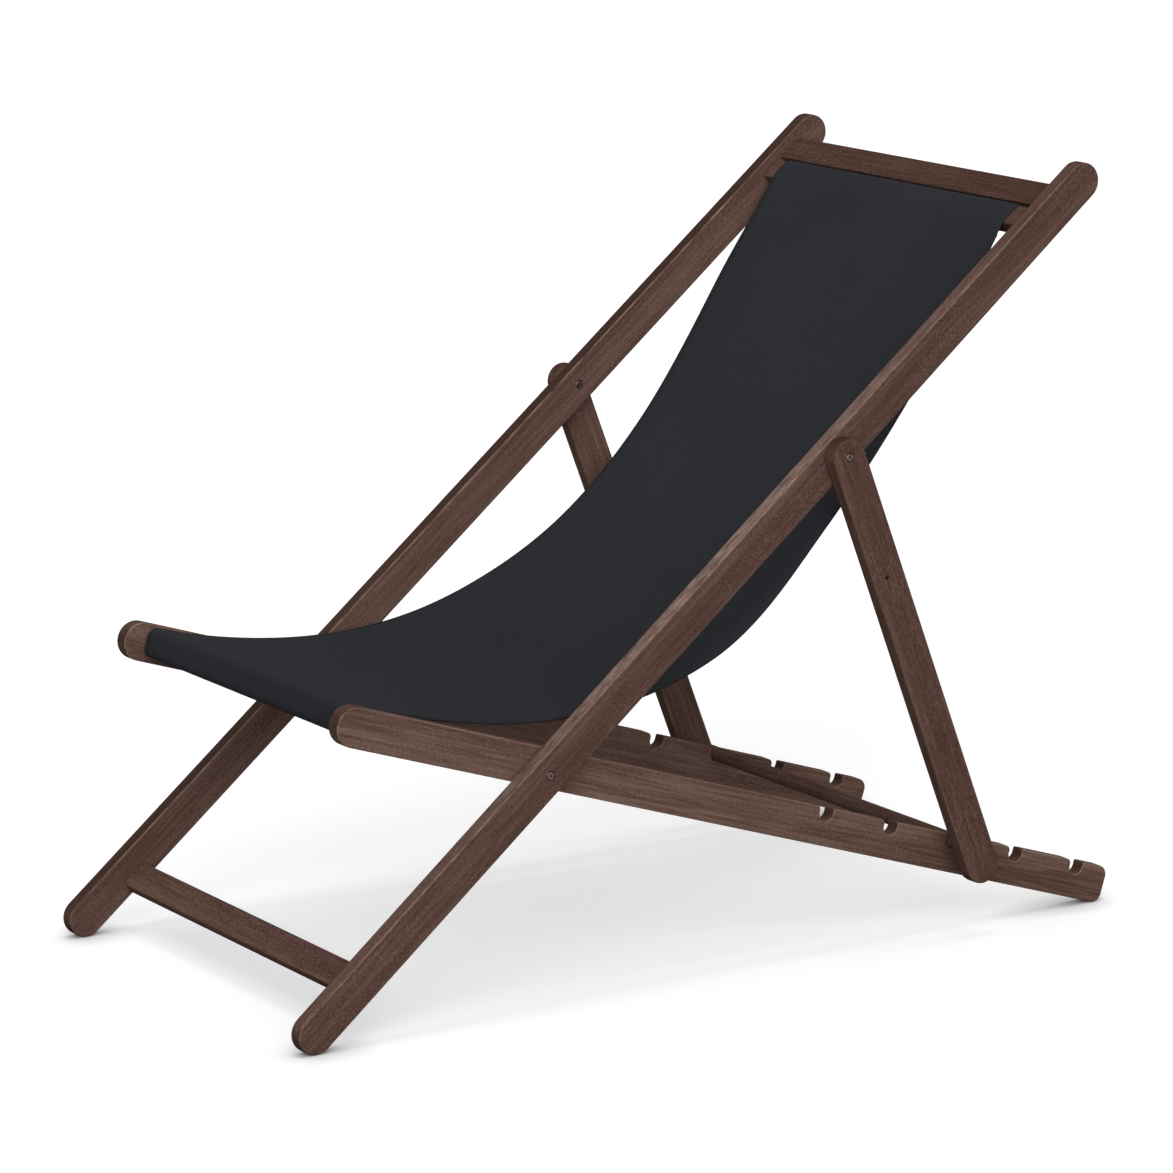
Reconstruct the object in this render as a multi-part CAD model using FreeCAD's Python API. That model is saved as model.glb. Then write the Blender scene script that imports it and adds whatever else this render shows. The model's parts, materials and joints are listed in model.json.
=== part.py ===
import FreeCAD, Part
import math
import os

# Folding deck chair: three hinged wooden frames and one hanging cloth sling.
# Millimetres and degrees. X runs across the chair, the front faces -Y, Z is up and the floor is Z = 0.
# The back frame runs from the front feet to the top, the seat frame crosses inside it, and the prop
# frame hangs outside it, with its bar lying in a notch of the seat rails.

# Rails and struts, all cut from one thickness of board
RAIL_THICKNESS = 18.0
RAIL_ARRIS = 2.0
BACK_RAIL_LENGTH = 1250.0
BACK_RAIL_DEPTH = 40.0
SEAT_RAIL_LENGTH = 1000.0
SEAT_RAIL_DEPTH = 41.0
SEAT_TAIL_ROUND = 11.0
PROP_STRUT_DEPTH = 39.0
PROP_TOE = 39.5

# Widths across the chair
SEAT_CLEAR_WIDTH = 432.0
SEAT_TO_BACK_GAP = 5.0
BACK_TO_PROP_GAP = 2.0

# Pivots: distances along a rail from the end that is named
SEAT_PIVOT_FROM_FOOT = 373.0
PROP_PIVOT_FROM_FOOT = 827.0
SEAT_PIVOT_FROM_NOSE = 243.5
SEAT_PIVOT_BELOW_MIDDLE = 4.2
PROP_BAR_REACH = 470.4

# Prop bar and the notches that take it; counted from the front, the bar lies in the BAR_NOTCH_COUNT one
PROP_BAR_DIAMETER = 16.0
NOTCH_COUNT = 5
BAR_NOTCH_COUNT = 3
FIRST_NOTCH_FROM_PIVOT = 365.4
NOTCH_PITCH = 86.8
NOTCH_DEPTH = 15.0
NOTCH_SIDE_PLAY = 0.5
NOTCH_SEAT_GAP = 0.3
NOTCH_LEAD_ROUND = 5.0
NOTCH_HEEL_ROUND = 2.0

# Cross slats and bars
SLAT_THICKNESS = 18.0
SLAT_EDGE_ROUND = 2.5
UPPER_SLAT_WIDTH = 31.5
LOWER_SLAT_WIDTH = 26.0
TOP_SLAT_FROM_END = 36.4
TOP_SLAT_GAP = 4.5
FRONT_SLAT_FROM_NOSE = 24.0
FRONT_SLAT_HEIGHT = 27.8
FRONT_SLAT_ABOVE_MIDDLE = 2.35
FRONT_SLAT_NOSE_ROUND = 7.0
SEAT_SLAT_GAP = 9.0
REAR_SLAT_HEIGHT = 16.0
FOOT_BAR_FROM_END = 75.0
FOOT_BAR_WIDTH = 31.5
FOOT_BAR_THICKNESS = 16.0
FOOT_BAR_FROM_BACK_EDGE = 0.5
TENON_LENGTH = 10.0
TENON_SHOULDER = 3.0
TENON_PLAY = 0.1
MORTISE_END_GAP = 0.5

# Cloth sling and the dowels in its two sleeves
SLING_WIDTH = 420.0
SLING_THICKNESS = 1.4
SLING_GAP = 0.3
SLING_SEAT_ANGLE = 2.4
SLING_BACK_ANGLE = 17.3
SLING_SEAT_PULL = 465.0
SLING_BACK_PULL = 399.0
SLING_SPAN_COUNT = 6
SLEEVE_WRAP_ANGLE = 315.0
DOWEL_DIAMETER = 12.0
DOWEL_PLAY = 0.3
DOWEL_END_GAP = 2.0

# Pivot bolts, cap nuts and the washers between the frames
BOLT_DIAMETER = 6.0
BOLT_HEAD_DIAMETER = 9.0
BOLT_HEAD_HEIGHT = 2.6
BOLT_HEAD_SUNK = 0.6
BOLT_HEAD_CROWN = 0.7
CROSS_SLOT_LENGTH = 4.6
CROSS_SLOT_WIDTH = 1.1
CROSS_SLOT_DEPTH = 1.4
CAP_NUT_HEIGHT = 3.8
CAP_NUT_WALL = 1.0
COUNTERBORE_PLAY = 0.7
RUNNING_PLAY = 0.05
RUNNING_GAP = 0.2
SPACER_DIAMETER = 22.0

# Worked out from the sizes above: faces across the chair, from the middle outwards
seat_inner = SEAT_CLEAR_WIDTH / 2
seat_outer = seat_inner + RAIL_THICKNESS
back_inner = seat_outer + SEAT_TO_BACK_GAP
back_outer = back_inner + RAIL_THICKNESS
prop_inner = back_outer + BACK_TO_PROP_GAP
prop_outer = prop_inner + RAIL_THICKNESS

# Rail coordinates: s runs along a rail from its pivot and n across it, with n = 0 on the pivot
back_half = BACK_RAIL_DEPTH / 2
seat_half = SEAT_RAIL_DEPTH / 2
prop_half = PROP_STRUT_DEPTH / 2
seat_middle = SEAT_PIVOT_BELOW_MIDDLE
seat_top = seat_middle + seat_half
seat_bottom = seat_middle - seat_half
back_foot_end = -SEAT_PIVOT_FROM_FOOT
back_top_end = BACK_RAIL_LENGTH - SEAT_PIVOT_FROM_FOOT
seat_nose_end = -SEAT_PIVOT_FROM_NOSE
seat_tail_end = SEAT_RAIL_LENGTH - SEAT_PIVOT_FROM_NOSE
pivot_spacing = PROP_PIVOT_FROM_FOOT - SEAT_PIVOT_FROM_FOOT
bar_radius = PROP_BAR_DIAMETER / 2
notch_half = bar_radius + NOTCH_SIDE_PLAY
notch_floor = seat_top - NOTCH_DEPTH
notch_places = [FIRST_NOTCH_FROM_PIVOT + i * NOTCH_PITCH for i in range(NOTCH_COUNT)]

# Rest pose: the bar lies in the notch in use, against its heel, so the two pivots and the bar make a
# triangle of known sides, and both frames stand on the floor.
bar_s = notch_places[BAR_NOTCH_COUNT - 1] + NOTCH_SIDE_PLAY - NOTCH_SEAT_GAP
bar_n = notch_floor + NOTCH_SEAT_GAP + bar_radius
bar_distance = math.hypot(bar_s, bar_n)
cosine = (pivot_spacing**2 + bar_distance**2 - PROP_BAR_REACH**2) / (2 * pivot_spacing * bar_distance)
frames_angle = math.degrees(math.acos(cosine) + math.atan2(bar_n, bar_s))

foot_arm = SEAT_PIVOT_FROM_FOOT - back_half
tail_arm = seat_tail_end - SEAT_TAIL_ROUND
tail_drop = -(seat_bottom + SEAT_TAIL_ROUND)
level = foot_arm * math.sin(math.radians(frames_angle)) - tail_drop
reach = foot_arm * math.cos(math.radians(frames_angle)) + tail_arm
rise = SEAT_TAIL_ROUND - back_half
seat_slope = math.degrees(math.acos(rise / math.hypot(level, reach)) - math.atan2(reach, level))
back_slope = frames_angle - seat_slope


def turned(angle, s, n):
    """A point (s, n) of a rail that slopes at angle, as (y, z) from its pivot."""
    a = math.radians(angle)
    return s * math.cos(a) - n * math.sin(a), s * math.sin(a) + n * math.cos(a)


# The seat pivot's place puts the feet on the floor and the whole chair's box in the middle.
foot_y = turned(back_slope, -foot_arm, 0)[0] - back_half
head_y = turned(back_slope, back_top_end - back_half, 0)[0] + back_half
tail_y = turned(-seat_slope, tail_arm, seat_top - SEAT_TAIL_ROUND)[0] + SEAT_TAIL_ROUND
seat_pivot_y = -(foot_y + max(head_y, tail_y)) / 2
seat_pivot_z = back_half - turned(back_slope, -foot_arm, 0)[1]
seat_pivot = FreeCAD.Vector(0, seat_pivot_y, seat_pivot_z)
prop_pivot = seat_pivot + FreeCAD.Vector(0, *turned(back_slope, pivot_spacing, 0))
bar_centre = seat_pivot + FreeCAD.Vector(0, *turned(-seat_slope, bar_s, bar_n))
prop_line = bar_centre - prop_pivot
prop_slope = math.degrees(math.atan2(prop_line.z, prop_line.y))

X_AXIS = FreeCAD.Vector(1, 0, 0)
SIDES = (("left", 1), ("right", -1))


def at_pivot(shape, pivot, angle):
    """Turn a shape made in rail coordinates to its slope and put its pivot in place."""
    shape.Placement = FreeCAD.Placement(pivot, FreeCAD.Rotation(X_AXIS, angle))
    return shape


def on_back(shape):
    return at_pivot(shape, seat_pivot, back_slope)


def on_seat(shape):
    return at_pivot(shape, seat_pivot, -seat_slope)


def on_prop(shape):
    return at_pivot(shape, prop_pivot, prop_slope)


def flat(s, n):
    return FreeCAD.Vector(0, s, n)


def line(a, b):
    return Part.LineSegment(flat(*a), flat(*b)).toShape()


def corner(centre, radius, start, end):
    """Arc about a centre, from one direction to another in degrees."""
    def spot(direction):
        a = math.radians(direction)
        return flat(centre[0] + radius * math.cos(a), centre[1] + radius * math.sin(a))
    return Part.Arc(spot(start), spot((start + end) / 2), spot(end)).toShape()


def plate(edges, low, high):
    """A face from outline edges, made solid from x = low to x = high."""
    face = Part.Face(Part.Wire(Part.__sortEdges__(edges)))
    face.translate(FreeCAD.Vector(low, 0, 0))
    return face.extrude(FreeCAD.Vector(high - low, 0, 0))


def rounded_bar(s0, s1, n0, n1, rounds, low, high):
    """Bar with a rectangular section; rounds are its corners' radii, from (s0, n0) anticlockwise."""
    r00, r10, r11, r01 = rounds
    edges = [line((s0 + r00, n0), (s1 - r10, n0)), corner((s1 - r10, n0 + r10), r10, -90, 0),
             line((s1, n0 + r10), (s1, n1 - r11)), corner((s1 - r11, n1 - r11), r11, 0, 90),
             line((s1 - r11, n1), (s0 + r01, n1)), corner((s0 + r01, n1 - r01), r01, 90, 180),
             line((s0, n1 - r01), (s0, n0 + r00)), corner((s0 + r00, n0 + r00), r00, 180, 270)]
    return plate(edges, low, high)


def ease_side_edges(solid, size):
    """Take off the sharp arrises all round both side faces of a rail."""
    sides = [e for e in solid.Edges if len({round(v.X, 6) for v in e.Vertexes}) == 1
             and e.BoundBox.XLength < 1e-6]
    return solid.makeChamfer(size, sides)


def block(s0, s1, n0, n1, low, high):
    size = high - low
    return Part.makeBox(size, s1 - s0, n1 - n0, FreeCAD.Vector(low, s0, n0))


def rod(radius, s, n, low, high):
    return Part.makeCylinder(radius, high - low, FreeCAD.Vector(low, s, n), X_AXIS)


def mirrored(shape, side):
    """The shape itself on the left, and its mirror image on the right."""
    if side > 0:
        return shape
    return shape.mirror(FreeCAD.Vector(0, 0, 0), X_AXIS)


def with_tenons(bar, section, half_span):
    """Add a stub tenon, set in by the shoulder, at both ends of a cross bar."""
    s0, s1, n0, n1 = section
    tenon = block(s0 + TENON_SHOULDER, s1 - TENON_SHOULDER, n0 + TENON_SHOULDER, n1 - TENON_SHOULDER,
                  -half_span - TENON_LENGTH, half_span + TENON_LENGTH)
    return bar.fuse(tenon).removeSplitter()


def mortise(section, inner_face):
    """Pocket for a stub tenon in a rail's inner face, on the left."""
    s0, s1, n0, n1 = section
    inset = TENON_SHOULDER - TENON_PLAY
    return block(s0 + inset, s1 - inset, n0 + inset, n1 - inset,
                 inner_face, inner_face + TENON_LENGTH + MORTISE_END_GAP)


# Sections of the cross slats and bars as (s0, s1, n0, n1) in the coordinates of the rail that holds them
upper_s1 = back_top_end - TOP_SLAT_FROM_END
upper_slat = (upper_s1 - UPPER_SLAT_WIDTH, upper_s1, -SLAT_THICKNESS / 2, SLAT_THICKNESS / 2)
lower_s1 = upper_slat[0] - TOP_SLAT_GAP
lower_slat = (lower_s1 - LOWER_SLAT_WIDTH, lower_s1, -SLAT_THICKNESS / 2, SLAT_THICKNESS / 2)
foot_bar_n0 = -back_half + FOOT_BAR_FROM_BACK_EDGE
foot_bar = (back_foot_end + FOOT_BAR_FROM_END, back_foot_end + FOOT_BAR_FROM_END + FOOT_BAR_WIDTH,
            foot_bar_n0, foot_bar_n0 + FOOT_BAR_THICKNESS)
front_s0 = seat_nose_end + FRONT_SLAT_FROM_NOSE
front_middle = seat_middle + FRONT_SLAT_ABOVE_MIDDLE
front_slat = (front_s0, front_s0 + SLAT_THICKNESS,
              front_middle - FRONT_SLAT_HEIGHT / 2, front_middle + FRONT_SLAT_HEIGHT / 2)

# The cloth's middle line keeps this far from the wood and from the dowels' centres
cloth_off = SLING_GAP + SLING_THICKNESS / 2
sleeve_radius = DOWEL_DIAMETER / 2 + DOWEL_PLAY + SLING_THICKNESS / 2
sleeve_outer = sleeve_radius + SLING_THICKNESS / 2

# Each sleeve is too thick for the gap between its two slats. The front one lies on the rear slat, level
# with the front slat's top, and the top one lies behind its slats.
front_dowel = (front_slat[1] + cloth_off + sleeve_radius, front_slat[3] - sleeve_outer)
top_dowel = (lower_slat[1] + cloth_off + sleeve_radius, lower_slat[2] - SLING_GAP - sleeve_outer)
rear_s0 = front_slat[1] + SEAT_SLAT_GAP
rear_top = front_dowel[1] - sleeve_outer - SLING_GAP
rear_slat = (rear_s0, rear_s0 + SLAT_THICKNESS, rear_top - REAR_SLAT_HEIGHT, rear_top)

# Radii of the holes round a bolt
bolt_radius = BOLT_DIAMETER / 2
bolt_hole = bolt_radius + RUNNING_PLAY
head_radius = BOLT_HEAD_DIAMETER / 2
head_hole = head_radius + COUNTERBORE_PLAY
head_depth = BOLT_HEAD_SUNK + BOLT_HEAD_HEIGHT
nut_depth = BOLT_HEAD_SUNK + CAP_NUT_HEIGHT


def stadium(s0, s1, middle, half, low, high):
    """Rail with full round ends."""
    edges = [line((s0 + half, middle - half), (s1 - half, middle - half)),
             corner((s1 - half, middle), half, -90, 90),
             line((s1 - half, middle + half), (s0 + half, middle + half)),
             corner((s0 + half, middle), half, 90, 270)]
    return plate(edges, low, high)


def back_rail():
    rail = stadium(back_foot_end, back_top_end, 0, back_half, back_inner, back_outer)
    rail = ease_side_edges(rail, RAIL_ARRIS)
    cuts = [mortise(upper_slat, back_inner), mortise(lower_slat, back_inner), mortise(foot_bar, back_inner)]
    cuts.append(rod(bolt_hole, 0, 0, back_inner, back_outer))
    cuts.append(rod(head_hole, 0, 0, back_outer - head_depth, back_outer))
    cuts.append(rod(bolt_hole, pivot_spacing, 0, back_inner, back_outer))
    cuts.append(rod(head_hole, pivot_spacing, 0, back_inner, back_inner + nut_depth))
    return rail.cut(cuts)


def notch(place, low, high):
    """Cutter for one notch: round floor, steep heel behind the bar, eased lead-in at the front."""
    front = place - notch_half
    heel = place + notch_half
    floor_middle = notch_floor + notch_half
    lead = (front - NOTCH_LEAD_ROUND, seat_top)
    end = (heel + NOTCH_HEEL_ROUND, seat_top)
    above = seat_top + NOTCH_DEPTH
    edges = [corner((lead[0], seat_top - NOTCH_LEAD_ROUND), NOTCH_LEAD_ROUND, 90, 0),
             line((front, seat_top - NOTCH_LEAD_ROUND), (front, floor_middle)),
             corner((place, floor_middle), notch_half, 180, 360),
             line((heel, floor_middle), (heel, seat_top - NOTCH_HEEL_ROUND)),
             corner((end[0], seat_top - NOTCH_HEEL_ROUND), NOTCH_HEEL_ROUND, 180, 90),
             line(end, (end[0], above)), line((end[0], above), (lead[0], above)),
             line((lead[0], above), lead)]
    return plate(edges, low, high)


def seat_rail():
    nose = (seat_nose_end + seat_half, seat_middle)
    tail_s = seat_tail_end - SEAT_TAIL_ROUND
    edges = [line((nose[0], seat_bottom), (tail_s, seat_bottom)),
             corner((tail_s, seat_bottom + SEAT_TAIL_ROUND), SEAT_TAIL_ROUND, -90, 0),
             line((seat_tail_end, seat_bottom + SEAT_TAIL_ROUND), (seat_tail_end, seat_top - SEAT_TAIL_ROUND)),
             corner((tail_s, seat_top - SEAT_TAIL_ROUND), SEAT_TAIL_ROUND, 0, 90),
             line((tail_s, seat_top), (nose[0], seat_top)),
             corner(nose, seat_half, 90, 270)]
    rail = ease_side_edges(plate(edges, seat_inner, seat_outer), RAIL_ARRIS)
    cuts = [notch(place, seat_inner, seat_outer) for place in notch_places]
    cuts += [mortise(front_slat, seat_inner), mortise(rear_slat, seat_inner)]
    cuts.append(rod(bolt_hole, 0, 0, seat_inner, seat_outer))
    cuts.append(rod(head_hole, 0, 0, seat_inner, seat_inner + nut_depth + RUNNING_GAP))
    return rail.cut(cuts)


def prop_strut():
    strut = stadium(-prop_half, PROP_BAR_REACH + PROP_TOE, 0, prop_half, prop_inner, prop_outer)
    strut = ease_side_edges(strut, RAIL_ARRIS)
    socket = rod(bar_radius - TENON_SHOULDER + TENON_PLAY, PROP_BAR_REACH, 0,
                 prop_inner, prop_inner + TENON_LENGTH + MORTISE_END_GAP)
    hole = rod(bolt_hole, 0, 0, prop_inner, prop_outer)
    seat = rod(head_hole, 0, 0, prop_outer - head_depth - RUNNING_GAP, prop_outer)
    return strut.cut([socket, hole, seat])


def cross_slat(section, half_span, front_round=SLAT_EDGE_ROUND):
    """Slat between two rails, with its edges eased and a tenon at each end."""
    rounds = (front_round, SLAT_EDGE_ROUND, SLAT_EDGE_ROUND, front_round)
    return with_tenons(rounded_bar(*section, rounds, -half_span, half_span), section, half_span)


def prop_bar():
    """Round bar with turned ends that stand in the struts."""
    bar = rod(bar_radius, PROP_BAR_REACH, 0, -prop_inner, prop_inner)
    ends = rod(bar_radius - TENON_SHOULDER, PROP_BAR_REACH, 0,
               -prop_inner - TENON_LENGTH, prop_inner + TENON_LENGTH)
    return bar.fuse(ends).removeSplitter()


def turned_piece(profile):
    """Revolve a profile of (x, radius) points about the pivot's own axis."""
    points = [FreeCAD.Vector(x, r, 0) for x, r in profile]
    face = Part.Face(Part.makePolygon(points + points[:1]))
    return face.revolve(FreeCAD.Vector(0, 0, 0), X_AXIS, 360)


def cross_slots(face_x, inward):
    """The two crossed slots of a screw head, cut from its face inwards."""
    low, high = sorted((face_x, face_x + inward * CROSS_SLOT_DEPTH))
    half = CROSS_SLOT_LENGTH / 2
    thin = CROSS_SLOT_WIDTH / 2
    return [block(-half, half, -thin, thin, low, high), block(-thin, thin, -half, half, low, high)]


def pivot_bolt(outer_face, inner_face):
    """Bolt on the left: sunk crowned head at the outer face, shank into the cap nut's wall."""
    face = outer_face - BOLT_HEAD_SUNK
    under = outer_face - head_depth
    tip = inner_face + BOLT_HEAD_SUNK + CAP_NUT_WALL
    bolt = turned_piece([(tip, 0), (tip, bolt_radius), (under, bolt_radius), (under, head_radius),
                         (face - BOLT_HEAD_CROWN, head_radius), (face, head_radius - BOLT_HEAD_CROWN), (face, 0)])
    return bolt.cut(cross_slots(face, -1))


def cap_nut(inner_face):
    """Round cap nut on the left, sunk in the inner face, with a blind hole for the bolt's end."""
    face = inner_face + BOLT_HEAD_SUNK
    wall = face + CAP_NUT_WALL
    back = face + CAP_NUT_HEIGHT
    nut = turned_piece([(face, 0), (face, head_radius - BOLT_HEAD_CROWN), (face + BOLT_HEAD_CROWN, head_radius),
                        (back, head_radius), (back, bolt_hole), (wall, bolt_hole), (wall, 0)])
    return nut


def spacer(low, high):
    ring = rod(SPACER_DIAMETER / 2, 0, 0, low, high)
    return ring.cut(rod(bolt_hole, 0, 0, low, high))


class ClothLine:
    """Side view of the cloth's middle line: straight and round stretches that follow on smoothly."""

    def __init__(self, point, heading):
        self.point = point
        self.heading = heading
        self.stretches = []
        self.length = 0.0

    def direction(self, heading):
        a = math.radians(heading)
        return FreeCAD.Vector(0, math.cos(a), math.sin(a))

    def straight(self, length):
        end = self.point + self.direction(self.heading) * length
        self.stretches.append(((self.point, self.heading), None, (end, self.heading)))
        self.point = end
        self.length += length

    def bend(self, radius, turn):
        """Follow an arc, left for a positive turn, in pieces of less than a half circle."""
        pieces = math.ceil(abs(turn) / 120)
        step = turn / pieces
        for piece in range(pieces):
            chord = 2 * radius * math.sin(math.radians(abs(step) / 2))
            self.arc_to(self.point + self.direction(self.heading + step / 2) * chord)

    def arc_to(self, end):
        """Follow the one arc that leaves along the heading and reaches a point."""
        chord = end - self.point
        lean = math.degrees(math.atan2(chord.z, chord.y)) - self.heading
        lean = (lean + 180) % 360 - 180
        across = self.direction(self.heading + lean + 90)
        middle = (self.point + end) / 2 - across * (chord.Length / 2 * math.tan(math.radians(lean / 2)))
        start = (self.point, self.heading)
        self.stretches.append((start, (middle, self.heading + lean), (end, self.heading + 2 * lean)))
        self.length += chord.Length * math.radians(lean) / math.sin(math.radians(lean))
        self.point = end
        self.heading += 2 * lean

    def smooth_to(self, end, heading):
        """Two arcs that meet smoothly and arrive at a point along a heading."""
        t0 = self.direction(self.heading)
        t1 = self.direction(heading)
        gap = end - self.point
        both = t0 + t1
        spread = 2 - 2 * t0.dot(t1)
        pull = (-gap.dot(both) + math.sqrt(gap.dot(both)**2 + spread * gap.dot(gap))) / spread
        self.arc_to((self.point + t0 * pull + end - t1 * pull) / 2)
        self.arc_to(end)

    def hang_to(self, end, heading, start_pull, end_pull, spans):
        """Hang in one smooth curve that keeps its two directions for about the length of each pull."""
        a = self.point
        b = a + self.direction(self.heading) * start_pull
        c = end - self.direction(heading) * end_pull
        for i in range(1, spans + 1):
            t = i / spans
            u = 1 - t
            spot = a * u**3 + b * (3 * u * u * t) + c * (3 * u * t * t) + end * t**3
            slope = (b - a) * (u * u) + (c - b) * (2 * u * t) + (end - c) * (t * t)
            self.smooth_to(spot, math.degrees(math.atan2(slope.z, slope.y)))

    def sheet(self, thickness, width):
        """The cloth itself: both faces offset from the middle line, made solid across the chair."""
        def side(place, offset):
            return place[0] + self.direction(place[1] + 90) * offset

        edges = []
        ends = []
        for offset in (thickness / 2, -thickness / 2):
            for start, middle, end in self.stretches:
                a = side(start, offset)
                b = side(end, offset)
                if middle is None:
                    edges.append(Part.LineSegment(a, b).toShape())
                else:
                    edges.append(Part.Arc(a, side(middle, offset), b).toShape())
            ends.append((side(self.stretches[0][0], offset), side(self.stretches[-1][2], offset)))
        for a, b in zip(*ends):
            edges.append(Part.LineSegment(a, b).toShape())
        return plate(edges, -width / 2, width / 2)


def cloth_line():
    """From the front sleeve round the front slat, in a sag to the top slats and round the top dowel."""
    back_edge = SLAT_EDGE_ROUND + cloth_off
    nose_edge = FRONT_SLAT_NOSE_ROUND + cloth_off

    def seat_spot(s, n):
        return seat_pivot + FreeCAD.Vector(0, *turned(-seat_slope, s, n))

    def back_spot(s, n):
        return seat_pivot + FreeCAD.Vector(0, *turned(back_slope, s, n))

    start = 180 - SLEEVE_WRAP_ANGLE
    along = math.radians(start)
    cloth = ClothLine(seat_spot(front_dowel[0] + sleeve_radius * math.cos(along),
                                front_dowel[1] + sleeve_radius * math.sin(along)),
                      start + 90 - seat_slope)
    cloth.bend(sleeve_radius, SLEEVE_WRAP_ANGLE)
    cloth.straight(front_dowel[1] - front_slat[2] - SLAT_EDGE_ROUND)
    cloth.bend(back_edge, -90)
    cloth.straight(SLAT_THICKNESS - SLAT_EDGE_ROUND - FRONT_SLAT_NOSE_ROUND)
    cloth.bend(nose_edge, -90)
    cloth.straight(FRONT_SLAT_HEIGHT - 2 * FRONT_SLAT_NOSE_ROUND)
    cloth.bend(nose_edge, SLING_SEAT_ANGLE - 90)

    meet = math.radians(SLING_BACK_ANGLE + 90)
    landing = back_spot(lower_slat[0] + SLAT_EDGE_ROUND + back_edge * math.cos(meet),
                        lower_slat[3] - SLAT_EDGE_ROUND + back_edge * math.sin(meet))
    cloth.hang_to(landing, back_slope + SLING_BACK_ANGLE, SLING_SEAT_PULL, SLING_BACK_PULL, SLING_SPAN_COUNT)
    cloth.bend(back_edge, -SLING_BACK_ANGLE)
    cloth.straight(LOWER_SLAT_WIDTH - 2 * SLAT_EDGE_ROUND)
    cloth.bend(back_edge, -90)
    cloth.straight(lower_slat[3] - SLAT_EDGE_ROUND - top_dowel[1])
    cloth.bend(sleeve_radius, SLEEVE_WRAP_ANGLE)
    return cloth


def export(name, shape):
    solids = shape.Solids
    if len(solids) != 1 or not shape.isValid():
        raise ValueError(f"{name}: {len(solids)} solids, valid {shape.isValid()}")
    solids[0].exportStep(f"parts/{name}.step")


os.makedirs("parts", exist_ok=True)

for side_name, side in SIDES:
    export(f"back_rail_{side_name}", mirrored(on_back(back_rail()), side))
    export(f"seat_rail_{side_name}", mirrored(on_seat(seat_rail()), side))
    export(f"prop_strut_{side_name}", mirrored(on_prop(prop_strut()), side))

    seat_bolt = pivot_bolt(back_outer, seat_inner)
    seat_nut = cap_nut(seat_inner)
    seat_spacer = spacer(seat_outer + RUNNING_GAP, back_inner)
    export(f"seat_pivot_bolt_{side_name}", mirrored(on_back(seat_bolt), side))
    export(f"seat_pivot_nut_{side_name}", mirrored(on_back(seat_nut), side))
    export(f"seat_pivot_spacer_{side_name}", mirrored(on_back(seat_spacer), side))

    prop_bolt = pivot_bolt(prop_outer, back_inner)
    prop_nut = cap_nut(back_inner)
    prop_washer = spacer(back_outer, prop_inner - RUNNING_GAP)
    export(f"prop_pivot_bolt_{side_name}", mirrored(at_pivot(prop_bolt, prop_pivot, back_slope), side))
    export(f"prop_pivot_nut_{side_name}", mirrored(at_pivot(prop_nut, prop_pivot, back_slope), side))
    export(f"prop_pivot_washer_{side_name}", mirrored(at_pivot(prop_washer, prop_pivot, back_slope), side))

export("top_slat_upper", on_back(cross_slat(upper_slat, back_inner)))
export("top_slat_lower", on_back(cross_slat(lower_slat, back_inner)))
export("foot_cross_bar", on_back(cross_slat(foot_bar, back_inner)))
export("seat_front_slat", on_seat(cross_slat(front_slat, seat_inner, FRONT_SLAT_NOSE_ROUND)))
export("seat_rear_slat", on_seat(cross_slat(rear_slat, seat_inner)))
export("prop_cross_bar", on_prop(prop_bar()))

dowel_radius = DOWEL_DIAMETER / 2
front_reach = seat_inner - DOWEL_END_GAP
top_reach = back_inner - DOWEL_END_GAP
export("sling_dowel_front", on_seat(rod(dowel_radius, *front_dowel, -front_reach, front_reach)))
export("sling_dowel_top", on_back(rod(dowel_radius, *top_dowel, -top_reach, top_reach)))

cloth = cloth_line()
export("sling", cloth.sheet(SLING_THICKNESS, SLING_WIDTH))

print(f"back rails slope {back_slope:.2f}, seat rails {-seat_slope:.2f}, prop struts {prop_slope:.2f} degrees")
print(f"seat pivot {seat_pivot_y:.1f}, {seat_pivot_z:.1f}; prop pivot {prop_pivot.y:.1f}, {prop_pivot.z:.1f}")
print(f"sling cut {SLING_WIDTH:.0f} by {cloth.length:.0f} mm, sleeves included")
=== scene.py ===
# %% [markdown]
# # Dressing a folding deck chair
#
# The chair is three wooden frames that turn on bolts, and one strip of canvas that hangs between two of
# them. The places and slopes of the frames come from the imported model. This lesson gives every board its
# eased edges and stained grain, cuts and hangs the canvas, and then sets up the floor, the light and the
# camera.

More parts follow.
